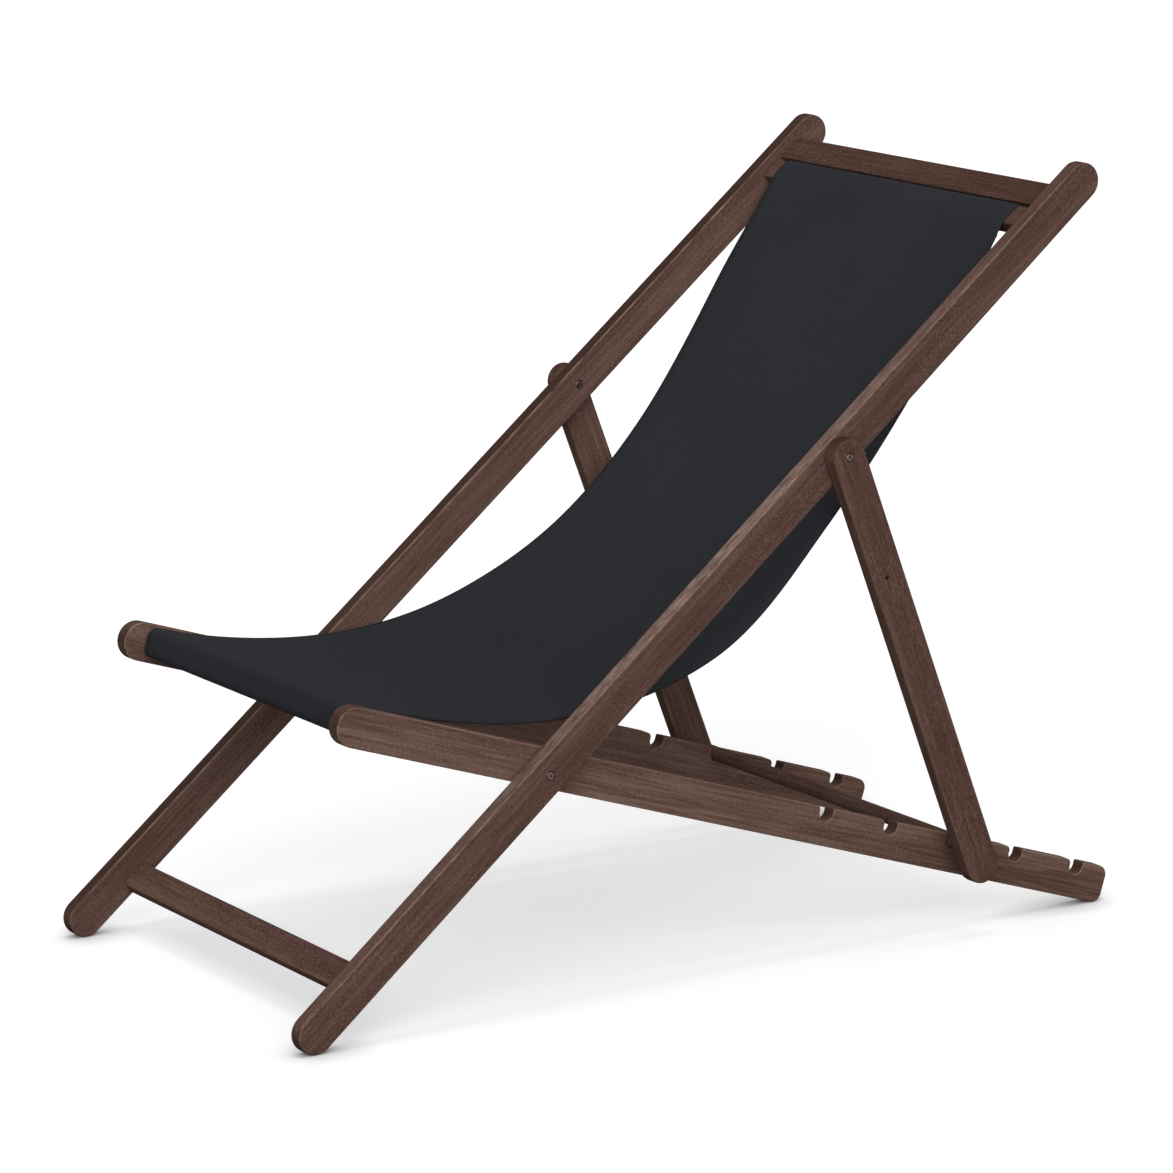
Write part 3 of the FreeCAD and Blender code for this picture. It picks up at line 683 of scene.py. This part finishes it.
# %% Round bar and dowels
END_ROUND = 1.2 * MM
END_SEGMENTS = 2
FLECK_STRETCH = 0.06
FLECK_DEPTH = 0.2 * MM


def round_bar(name):
    """A round bar in the place of a node, with eased ends."""
    low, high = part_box(name)
    radius = (high.z - low.z) / 2
    bm = bmesh.new()
    bmesh.ops.create_cone(bm, cap_ends=True, segments=ROUND_SEGMENTS, radius1=radius, radius2=radius,
                          depth=high.x - low.x)
    ends = [e for e in bm.edges if abs(e.verts[0].co.z - e.verts[1].co.z) < TOUCHING]
    bmesh.ops.bevel(bm, geom=ends, offset=END_ROUND, affect="EDGES", segments=END_SEGMENTS, profile=0.5,
                    material=-1)
    return piece("round_" + name, bm, across_chair((low + high) / 2))


def bare_beech(name):
    """Sanded beech without stain: pale, with short dark flecks along the grain."""
    material, tree, shader = finish_named(name)
    place = node(tree, "ShaderNodeTexCoord").outputs["Object"]
    grain = node(tree, "ShaderNodeMapping", {"Vector": place, "Scale": (FLECK_STRETCH, 1, 1)})
    fleck = node(tree, "ShaderNodeTexNoise", {"Vector": grain.outputs["Vector"], "Scale": 1 / STREAK_WIDTH,
                                              "Detail": 4.0}).outputs["Fac"]
    colour = node(tree, "ShaderNodeValToRGB", {"Fac": fleck}, [(0.35, "#A5805A"), (0.65, "#C9A67E")])
    bump = node(tree, "ShaderNodeBump", {"Height": fleck, "Strength": 0.3, "Distance": FLECK_DEPTH})
    tree.links.new(colour.outputs["Color"], shader.inputs["Base Color"])
    tree.links.new(bump.outputs["Normal"], shader.inputs["Normal"])
    shader.inputs["Roughness"].default_value = 0.6
    return material


wooden(round_bar("prop_cross_bar"), "prop_cross_bar", "prop_frame", ALONG_X)
beech = bare_beech("bare_beech")
for name, body in (("sling_dowel_top", "back_frame"), ("sling_dowel_front", "seat_frame")):
    dowel = round_bar(name)
    dowel.data.materials.append(beech)
    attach(dowel, body)
    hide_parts(name)
    print(f"{dowel.name}: {len(dowel.data.polygons)} faces")

# %% [markdown]
# ## Bolts, nuts and washers
#
# The pivots are steel bolts with a cross slot, sunk a little below the wood, with cap nuts on the other
# side and black nylon washers between the boards. Their solids already have the right shape, so they only
# get a finish: the dark zinc on the bolts is brown and a little cloudy, the nuts have kept a brighter zinc,
# and moulded nylon is smooth and black.

# %% Steel and nylon
CLOUD_SIZE = 2 * MM
MOULD_SIZE = 0.8 * MM
MOULD_DEPTH = 0.05 * MM


def zinc_plating(name, dark, light, polished, dulled):
    """Zinc on steel: a metal with small glints, clouded unevenly by handling."""
    material, tree, shader = finish_named(name)
    place = node(tree, "ShaderNodeTexCoord").outputs["Object"]
    cloud = node(tree, "ShaderNodeTexNoise", {"Vector": place, "Scale": 1 / CLOUD_SIZE, "Detail": 4.0})
    cloud = cloud.outputs["Fac"]
    colour = node(tree, "ShaderNodeValToRGB", {"Fac": cloud}, [(0.3, dark), (0.7, light)])
    dull = node(tree, "ShaderNodeMapRange", {"Value": cloud, "To Min": polished, "To Max": dulled})
    tree.links.new(colour.outputs["Color"], shader.inputs["Base Color"])
    tree.links.new(dull.outputs["Result"], shader.inputs["Roughness"])
    shader.inputs["Metallic"].default_value = 1.0
    return material


def black_nylon(name):
    """Moulded nylon: smooth, black and slightly glossy, with a faint mould texture."""
    material, tree, shader = finish_named(name)
    place = node(tree, "ShaderNodeTexCoord").outputs["Object"]
    skin = node(tree, "ShaderNodeTexNoise", {"Vector": place, "Scale": 1 / MOULD_SIZE, "Detail": 2.0})
    skin = skin.outputs["Fac"]
    colour = node(tree, "ShaderNodeValToRGB", {"Fac": skin}, [(0.3, "#191919"), (0.7, "#262625")])
    bump = node(tree, "ShaderNodeBump", {"Height": skin, "Strength": 0.2, "Distance": MOULD_DEPTH})
    tree.links.new(colour.outputs["Color"], shader.inputs["Base Color"])
    tree.links.new(bump.outputs["Normal"], shader.inputs["Normal"])
    shader.inputs["Roughness"].default_value = 0.45
    return material


nylon = black_nylon("black_nylon")
FITTINGS = {"bolt": zinc_plating("dark_zinc_plated_steel", "#413934", "#796E66", polished=0.2, dulled=0.4),
            "nut": zinc_plating("bright_zinc_plated_steel", "#4A423C", "#968D84", polished=0.3, dulled=0.55),
            "washer": nylon,
            "spacer": nylon}
for name, solid in frame["nodes"].items():
    kind = next((word for word in FITTINGS if word in name), None)
    if kind:
        solid.data.materials.clear()
        solid.data.materials.append(FITTINGS[kind])
        print(name, FITTINGS[kind].name)

# %% [markdown]
# ## The path of the canvas
#
# One strip of canvas does all the work. A sleeve at its front end holds a dowel that can't slip out between
# the two seat slats. From there the cloth goes down through the gap, round the front slat, hangs in a long
# sag to the head end, bends over the lower top slat, goes back through the gap between the top slats and
# ends in a second sleeve. A cloth simulation could find a sag, but the cloth in use keeps the hollow of its
# last sitter, which no fresh drop gives. So the strip follows a path: straight stretches, bends round the
# slats and one long curve.

# %% How to walk along the cloth
SAG_ROWS = 90
STRAIGHT_STEP = 6 * MM
BEND_STEP = math.radians(12)
LEAST_BEND_STEPS = 2


def heading_vector(heading):
    """A step of length 1 in side view, in the direction of a heading."""
    return Vector((math.cos(heading), math.sin(heading)))


class ClothPath:
    """Walks along the cloth in side view and keeps (spot, length so far, heading) at each of its rows."""

    def __init__(self, spot, heading):
        self.spot = spot
        self.heading = heading
        self.length = 0.0
        self.rows = [(spot, 0.0, heading)]

    def step_to(self, spot, heading):
        self.length += (spot - self.spot).length
        self.spot = spot
        self.heading = heading
        self.rows.append((spot, self.length, heading))

    def straight(self, length):
        count = max(1, round(length / STRAIGHT_STEP))
        for i in range(count):
            self.step_to(self.spot + heading_vector(self.heading) * (length / count), self.heading)

    def bend(self, radius, turn):
        count = max(LEAST_BEND_STEPS, round(abs(turn) / BEND_STEP))
        part = turn / count
        chord = 2 * radius * math.sin(abs(part) / 2)
        for i in range(count):
            self.step_to(self.spot + heading_vector(self.heading + part / 2) * chord, self.heading + part)

    def hang(self, end, heading, first_pull, last_pull):
        first = self.spot + heading_vector(self.heading) * first_pull
        last = end - heading_vector(heading) * last_pull
        for spot in geometry.interpolate_bezier(self.spot, first, last, end, SAG_ROWS)[1:]:
            ahead = spot.xy - self.spot
            self.step_to(spot.xy, math.atan2(ahead.y, ahead.x))
        self.heading = heading


print(f"a straight stretch has a row every {STRAIGHT_STEP / MM:.0f} mm, and the sag has {SAG_ROWS} rows")

# %% [markdown]
# The walk starts at the open end of the front sleeve. The radius of each bend is the slat's own round plus
# the gap and half the cloth. The sag is one Bezier curve, which leaves the seat and meets the back at the
# angles that the photo shows, and its two pulls set how deep it hangs.

# %% Walk the path
CLOTH_THICKNESS = 1.4 * MM
CLOTH_GAP = 0.3 * MM
DOWEL_PLAY = 0.3 * MM
SLEEVE_TURN = math.radians(315)
LEAVES_SEAT = math.radians(2.4)
MEETS_BACK = math.radians(17.3)
SEAT_PULL = 465 * MM
BACK_PULL = 399 * MM
HEAD_ROUND = 25 * MM


def side_view(place, along, across):
    """A spot in a rail's coordinates as (y, z) of the chair."""
    return (place @ Vector((0, along, across))).yz


off = CLOTH_GAP + CLOTH_THICKNESS / 2
front_dowel = in_rail(middle(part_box("sling_dowel_front")), on_seat)
top_dowel = in_rail(middle(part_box("sling_dowel_top")), on_back)
dowel_low, dowel_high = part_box("sling_dowel_top")
sleeve = (dowel_high.z - dowel_low.z) / 2 + DOWEL_PLAY + CLOTH_THICKNESS / 2
front_low = FRONT_SLAT_CENTRE[1] - FRONT_SLAT[1] / 2
lower_bottom = lower_centre[0] - LOWER_SLAT[0] / 2
lower_face = lower_centre[1] + LOWER_SLAT[1] / 2

begin = math.pi - SLEEVE_TURN
open_end = Vector(front_dowel) + heading_vector(begin) * sleeve
path = ClothPath(side_view(on_seat, *open_end), begin + QUARTER + seat_slope)
path.bend(sleeve, SLEEVE_TURN)
path.straight(front_dowel[1] - front_low - SLAT_EDGE)
path.bend(SLAT_EDGE + off, -QUARTER)
path.straight(FRONT_SLAT[0] - SLAT_EDGE - NOSE_EDGE)
path.bend(NOSE_EDGE + off, -QUARTER)
path.straight(FRONT_SLAT[1] - 2 * NOSE_EDGE)
path.bend(NOSE_EDGE + off, LEAVES_SEAT - QUARTER)
sag_start = len(path.rows) - 1
overlap = HEAD_ROUND * math.tan(MEETS_BACK / 2)
bend_middle = Vector((lower_bottom + SLAT_EDGE + overlap, lower_face + off - HEAD_ROUND))
landing = bend_middle + heading_vector(MEETS_BACK + QUARTER) * HEAD_ROUND
path.hang(side_view(on_back, *landing), back_slope + MEETS_BACK, SEAT_PULL, BACK_PULL)
sag_end = len(path.rows) - 1
path.bend(HEAD_ROUND, -MEETS_BACK)
path.straight(LOWER_SLAT[0] - 2 * SLAT_EDGE - overlap)
path.bend(SLAT_EDGE + off, -QUARTER)
path.straight(lower_face - SLAT_EDGE - top_dowel[1])
path.bend(sleeve, SLEEVE_TURN)
print(f"the cloth is {path.length / MM:.0f} mm long in {len(path.rows)} rows")

# %% [markdown]
# ## Hanging the canvas
#
# In the photo the two edges of the cloth don't hang alike: the seat is higher at the sitter's right, the
# back is fuller at the left, and the head end has slipped a little to the right. So each edge is lifted off
# the path by a few lengths read along the sag, the cloth between them is a blend, and a faint ripple runs
# over it.

# %% Where a point of the cloth hangs
CLOTH_WIDTH = 420 * MM
LEFT_LIFT = ((0.0, 0.0), (0.2, -5 * MM), (0.41, -5 * MM), (0.64, 10 * MM), (1.0, 0.0))
RIGHT_LIFT = ((0.0, 0.0), (0.4, 14 * MM), (0.75, 5 * MM), (0.88, 5 * MM), (1.0, 0.0))
HEAD_SLIP = 9 * MM
HEAD_SPREAD = 5 * MM
SLIP_START = 0.7
RIPPLE = 1.6 * MM
RIPPLE_SIZE = 160 * MM
RIPPLE_LEVEL = 0.3 * RIPPLE_SIZE


def eased(share):
    """0 to 1 with a level start and end."""
    return share * share * (3 - 2 * share)


def lift_at(share, knots):
    """The lift at a share of the sag, eased from each (share, lift) to the next."""
    for (start, low), (end, high) in zip(knots, knots[1:]):
        if share <= end:
            return low + (high - low) * eased((share - start) / (end - start))


def on_cloth(row, across):
    """The place of a point of the cloth, from its row and its flat distance across from the middle."""
    spot, along, heading = path.rows[row]
    share = min(max((row - sag_start) / (sag_end - sag_start), 0.0), 1.0)
    left = across / CLOTH_WIDTH + 0.5
    ripple = RIPPLE * noise.noise(Vector((across, along, RIPPLE_LEVEL)) / RIPPLE_SIZE)
    lift = left * lift_at(share, LEFT_LIFT) + (1 - left) * lift_at(share, RIGHT_LIFT)
    spot = spot + heading_vector(heading + QUARTER) * (lift + ripple * math.sin(math.pi * share) ** 2)
    slip = (HEAD_SLIP - HEAD_SPREAD * left) * eased(max((share - SLIP_START) / (1 - SLIP_START), 0.0))
    return Vector((across - slip, spot.x, spot.y))


print(f"the sag runs from row {sag_start} to row {sag_end}")

# %% [markdown]
# ## Cutting the canvas
#
# The long edges of the cloth are turned under and sewn, so that they don't fray. Here a hem is two
# extrusions of the edge: down by one thickness, which fades out towards the slats, and then inwards by the
# hem's width.

# %% Turn a hem
HEM_WIDTH = 16 * MM
HEM_GAP = 0.2 * MM
HEM_FADE_ROWS = 5


def turn_hem(bm, side, row_of, across_of):
    """Turn the cloth under along one edge of the sag: down by one thickness, then inwards by the hem."""
    edge = side * CLOTH_WIDTH / 2
    hem = [e for e in bm.edges if e.is_boundary
           and all(abs(v[across_of] - edge) < TOUCHING and sag_start < v[row_of] < sag_end for v in e.verts)]
    for drop, inwards in ((CLOTH_THICKNESS + HEM_GAP, 0.0), (0.0, HEM_WIDTH)):
        grown = bmesh.ops.extrude_edge_only(bm, edges=hem)["geom"]
        moved = verts_of(grown)
        for v in moved:
            row = v[row_of]
            fade = min(1.0, (row - sag_start) / HEM_FADE_ROWS, (sag_end - row) / HEM_FADE_ROWS)
            under = heading_vector(path.rows[row][2] - QUARTER) * drop * fade
            v.co += Vector((-side * inwards, under.x, under.y))
            v[across_of] += side * (drop + inwards)
        edges = [e for e in grown if isinstance(e, bmesh.types.BMEdge)]
        hem = [e for e in edges if all(v in moved for v in e.verts)]


print(f"hems are {HEM_WIDTH / MM:.0f} mm wide")

# %% [markdown]
# The flat cut is a grid with one row of points for each row of the path and one column for each centimetre
# of width. Each point goes to its place in the hanging cloth, and its flat place becomes the UV map, in
# metres, so the weave and the stitches follow the cloth however it hangs. A Solidify modifier gives the
# strip its thickness.

# %% Cut and hang the cloth
COLUMNS = 42

bm = bmesh.new()
last_row = len(path.rows) - 1
bmesh.ops.create_grid(bm, x_segments=COLUMNS, y_segments=last_row, size=0.5)
row_of = bm.verts.layers.int.new("row")
across_of = bm.verts.layers.float.new("across")
for v in bm.verts:
    v[row_of] = round((v.co.y + 0.5) * last_row)
    v[across_of] = v.co.x * CLOTH_WIDTH
    v.co = on_cloth(v[row_of], v[across_of])
turn_hem(bm, 1, row_of, across_of)
turn_hem(bm, -1, row_of, across_of)
flat_map = bm.loops.layers.uv.new("cloth")
for face in bm.faces:
    for loop in face.loops:
        loop[flat_map].uv = (loop.vert[across_of], path.rows[loop.vert[row_of]][1])
bmesh.ops.recalc_face_normals(bm, faces=bm.faces[:])
sling = piece("canvas_sling", bm)
thick = sling.modifiers.new("cloth_thickness", "SOLIDIFY")
thick.thickness = CLOTH_THICKNESS
thick.offset = 0.0
print(f"{sling.name}: {len(sling.data.polygons)} faces")

# %% [markdown]
# ## Canvas
#
# One row of stitches holds each hem. Modelled loops of thread would be hundreds of tiny pieces, so the row
# is drawn on the flat map instead, as dashes at a set distance from each edge.

# %% Hem stitches
STITCH_FROM_EDGE = 13 * MM
STITCH_LENGTH = 4 * MM
STITCH_SHOWS = 0.7
STITCH_WIDTH = 0.9 * MM


def hem_stitches(tree, flat):
    """1 on a row of stitches beside each edge of the cloth, 0 elsewhere."""
    across = node(tree, "ShaderNodeMath", {0: flat.outputs["X"]}, operation="ABSOLUTE").outputs["Value"]
    near = node(tree, "ShaderNodeMath", {0: across, 1: CLOTH_WIDTH / 2 - STITCH_FROM_EDGE,
                                         2: STITCH_WIDTH / 2}, operation="COMPARE")
    step = node(tree, "ShaderNodeMath", {0: flat.outputs["Y"], 1: STITCH_LENGTH}, operation="MODULO")
    drawn = node(tree, "ShaderNodeMath", {0: step.outputs["Value"], 1: STITCH_SHOWS * STITCH_LENGTH},
                 operation="LESS_THAN")
    stitch = node(tree, "ShaderNodeMath", {0: near.outputs["Value"], 1: drawn.outputs["Value"]},
                  operation="MULTIPLY")
    return stitch.outputs["Value"]


print(f"a stitch is {STITCH_LENGTH / MM:.0f} mm long, with {STITCH_SHOWS:.0%} of it on top")

# %% [markdown]
# The cloth is a plain-woven canvas dyed charcoal: matt, slightly hairy, with a faint sheen where it turns
# away from the eye. Its threads are about half a millimetre apart, too fine to show here, so the weave is
# drawn a little over twice as coarse, by two waves that cross, with painted shade between the threads. The
# seat is painted a shade darker, which offsets the light that falls on it from above, and the stitches are
# in a slightly paler thread.

# %% The canvas finish
THREAD = 1.3 * MM
THREAD_DEPTH = 0.2 * MM
# The wave texture makes this many bands in each unit of length, for each unit of its scale.
WAVE_BANDS = 10 / math.pi
SLUB_SIZE = 9 * MM
FADE_SIZE = 140 * MM
CHARCOAL = [(0.32, "#303136"), (0.68, "#35363C")]
SHADED = "#1E1F22"
SEAT_PAINTED_SHADE = 0.3
SEAT_REACH = (0.45, 0.75)
STITCH_THREAD = "#3A3B41"


def canvas(name):
    """Charcoal canvas on the cloth's own flat map, in metres: matt, finely woven, with painted shade between
    threads and on the seat.
    """
    material, tree, shader = finish_named(name)
    flat = node(tree, "ShaderNodeUVMap", uv_map="cloth").outputs["UV"]
    bands = {"Vector": flat, "Scale": 1 / (WAVE_BANDS * THREAD), "Distortion": 0.6, "Detail": 1.0}
    warp = node(tree, "ShaderNodeTexWave", bands, bands_direction="X").outputs["Fac"]
    weft = node(tree, "ShaderNodeTexWave", bands, bands_direction="Y").outputs["Fac"]
    weave = node(tree, "ShaderNodeMath", {0: warp, 1: weft}, operation="MAXIMUM").outputs["Value"]
    slub = node(tree, "ShaderNodeTexNoise", {"Vector": flat, "Scale": 1 / SLUB_SIZE, "Detail": 5.0})
    fade = node(tree, "ShaderNodeTexNoise", {"Vector": flat, "Scale": 1 / FADE_SIZE, "Detail": 2.0})
    shade = node(tree, "ShaderNodeMix", {"Factor": 0.5, "A": slub.outputs["Fac"], "B": fade.outputs["Fac"]},
                 data_type="FLOAT")
    dyed = node(tree, "ShaderNodeValToRGB", {"Fac": shade.outputs["Result"]}, CHARCOAL)
    dip = node(tree, "ShaderNodeMapRange", {"Value": weave, "From Min": 0.2, "From Max": 0.9,
                                            "To Min": 0.3, "To Max": 0.0})
    parts = node(tree, "ShaderNodeSeparateXYZ", {"Vector": flat})
    # Painted shade on the seat: darker than the back, to offset the light that falls on it from above.
    seat_shade = node(tree, "ShaderNodeMapRange", {"Value": parts.outputs["Y"], "From Min": SEAT_REACH[0],
                                             "From Max": SEAT_REACH[1], "To Min": SEAT_PAINTED_SHADE, "To Max": 0.0})
    layers = [(dip.outputs["Result"], SHADED), (seat_shade.outputs["Result"], SHADED),
              (hem_stitches(tree, parts), STITCH_THREAD)]
    bump = node(tree, "ShaderNodeBump", {"Height": weave, "Strength": 0.3, "Distance": THREAD_DEPTH})
    tree.links.new(covered(tree, dyed.outputs["Color"], layers), shader.inputs["Base Color"])
    tree.links.new(bump.outputs["Normal"], shader.inputs["Normal"])
    shader.inputs["Roughness"].default_value = 0.9
    shader.inputs["Specular IOR Level"].default_value = 0.0
    shader.inputs["Sheen Weight"].default_value = 0.02
    shader.inputs["Sheen Roughness"].default_value = 0.5
    return material


sling.data.materials.append(canvas("charcoal_canvas"))
print(f"the weave repeats every {THREAD / MM:.1f} mm")

# %% [markdown]
# The front end of the cloth moves with the seat frame and its head end stays on the back frame, so the
# sling is blended between the two. The blend starts and ends a little inside the sag, so that both wraps
# stay on their slats.

# %% Hold the cloth between the two frames
BLEND_ROWS_HEAD = 10
BLEND_ROWS_SEAT = 6
blend_start = path.rows[sag_end - BLEND_ROWS_HEAD][0]
blend_end = path.rows[sag_start + BLEND_ROWS_SEAT][0]
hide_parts("sling")
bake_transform(sling, "back_frame", "seat_frame", start=(0, *blend_start), end=(0, *blend_end))
print("the sling bends between", [tuple(round(v, 3) for v in spot) for spot in (blend_start, blend_end)])

# %% [markdown]
# ## Floor, light and camera
#
# The chair stands in a white studio with light from all sides, a small lamp straight overhead that draws
# the shadow of the chair under it, a large soft lamp at the front and a weaker one behind. For the camera
# the floor is pale grey with a glow, which makes it as white as the background and still keeps the shadow.
# The glow fades out in the narrow gaps round the feet, where no light gets in, so that they stand on a dark
# line. For the light that goes back up to the chair the floor is mid grey, so that the undersides stay
# dark.

# %% Floor
FLOOR_SIZE = 40.0
FLOOR_LIFT = 0.44
FLOOR_SEEN = "#E7E7E7"
FLOOR_BOUNCE = "#707070"
CONTACT_REACH = 40 * MM


def seen_by_camera(tree):
    """1 for the rays that make a picture: from the camera, off a gloss or through glass."""
    rays = node(tree, "ShaderNodeLightPath").outputs
    seen = node(tree, "ShaderNodeMath", {0: rays["Is Camera Ray"], 1: rays["Is Glossy Ray"]},
                operation="MAXIMUM")
    seen = node(tree, "ShaderNodeMath", {0: seen.outputs["Value"], 1: rays["Is Transmission Ray"]},
                operation="MAXIMUM")
    return seen.outputs["Value"]


def studio_floor(name):
    """Matt floor that looks white to the camera, keeps the chair's shadow and sends little light up."""
    material, tree, shader = finish_named(name)
    seen = seen_by_camera(tree)
    colour = node(tree, "ShaderNodeMix", {"Factor": seen, "A": linear(FLOOR_BOUNCE),
                                          "B": linear(FLOOR_SEEN)}, data_type="RGBA")
    tree.links.new(colour.outputs["Result"], shader.inputs["Base Color"])
    shader.inputs["Roughness"].default_value = 1.0
    shader.inputs["Specular IOR Level"].default_value = 0.0
    crevice = node(tree, "ShaderNodeAmbientOcclusion", {"Distance": CONTACT_REACH}, samples=4)
    clear = node(tree, "ShaderNodeMapRange", {"Value": crevice.outputs["AO"], "From Min": 0.45,
                                              "From Max": 0.95, "To Max": FLOOR_LIFT})
    lift = node(tree, "ShaderNodeMath", {0: seen, 1: clear.outputs["Result"]}, operation="MULTIPLY")
    glow = node(tree, "ShaderNodeEmission", {"Strength": lift.outputs["Value"]})
    both = node(tree, "ShaderNodeAddShader", {0: shader.outputs["BSDF"], 1: glow.outputs["Emission"]})
    tree.links.new(both.outputs["Shader"], tree.nodes["Material Output"].inputs["Surface"])
    return material


bm = bmesh.new()
bmesh.ops.create_grid(bm, x_segments=1, y_segments=1, size=FLOOR_SIZE / 2)
floor = piece("floor", bm)
floor.data.materials.append(studio_floor("studio_floor"))
floor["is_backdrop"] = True
print(f"the floor is {FLOOR_SIZE:.0f} m wide")

# %% [markdown]
# The background is white to the camera, and lights the chair with less than half of that. The three lamps
# are suns, because their light is as strong at the far edge of the floor as under the chair.

# %% Background and lamps
WORLD_LIGHT = 0.42

world = bpy.data.worlds.new("white_studio")
world.use_nodes = True
sky_tree = world.node_tree
sky_tree.nodes.clear()
level = node(sky_tree, "ShaderNodeMapRange", {"Value": seen_by_camera(sky_tree), "To Min": WORLD_LIGHT,
                                              "To Max": 1.0})
sky = node(sky_tree, "ShaderNodeBackground", {"Color": (1, 1, 1, 1), "Strength": level.outputs["Result"]})
node(sky_tree, "ShaderNodeOutputWorld", {"Surface": sky.outputs["Background"]})
bpy.context.scene.world = world


def soft_sun(name, towards, spread, strength):
    """A far lamp that lights the chair and the whole floor evenly; spread is its width in degrees."""
    lamp = bpy.data.lights.new(name, "SUN")
    lamp.angle = math.radians(spread)
    lamp.energy = strength
    made = bpy.data.objects.new(name, lamp)
    made.rotation_euler = Vector(towards).to_track_quat("Z", "Y").to_euler()
    bpy.context.scene.collection.objects.link(made)
    print(f"{name}: {spread} degrees wide, strength {strength}")


soft_sun("overhead_lamp", towards=(0.0, 0.0, 1.0), spread=12, strength=0.4)
soft_sun("front_softbox", towards=(0.80, -0.50, 0.34), spread=60, strength=2.2)
soft_sun("back_softbox", towards=(-0.80, 0.60, 0.02), spread=60, strength=1.3)

# %% [markdown]
# The lens is long, and the camera's place was fitted to the edges of the rails in the photo. The Standard
# view shows the colours as they were written.

# %% Camera
CAMERA_SPOT = Vector((4.434, -2.8219, 1.5084))
CAMERA_AZIMUTH = math.radians(57.626)
CAMERA_ELEVATION = math.radians(12.257)
CAMERA_ROLL = math.radians(-0.171)
LENS_LENGTH_MM = 156.0
SENSOR_WIDTH_MM = 36.0

lens = bpy.data.cameras.new("photo_camera")
lens.lens = LENS_LENGTH_MM
lens.sensor_width = SENSOR_WIDTH_MM
camera = bpy.data.objects.new("photo_camera", lens)
aim = Matrix.Rotation(CAMERA_AZIMUTH, 4, "Z") @ Matrix.Rotation(QUARTER - CAMERA_ELEVATION, 4, "X")
camera.matrix_world = Matrix.Translation(CAMERA_SPOT) @ aim @ Matrix.Rotation(CAMERA_ROLL, 4, "Z")
bpy.context.scene.collection.objects.link(camera)
bpy.context.scene.camera = camera
bpy.context.scene.view_settings.view_transform = "Standard"

# %% [markdown]
# ## Sizes
#
# The box round the dressed chair is printed, so that a stray point would show.

# %% Print the size of the dressed chair
low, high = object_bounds()
print(f"the dressed chair is {[round(v, 3) for v in high - low]} m")
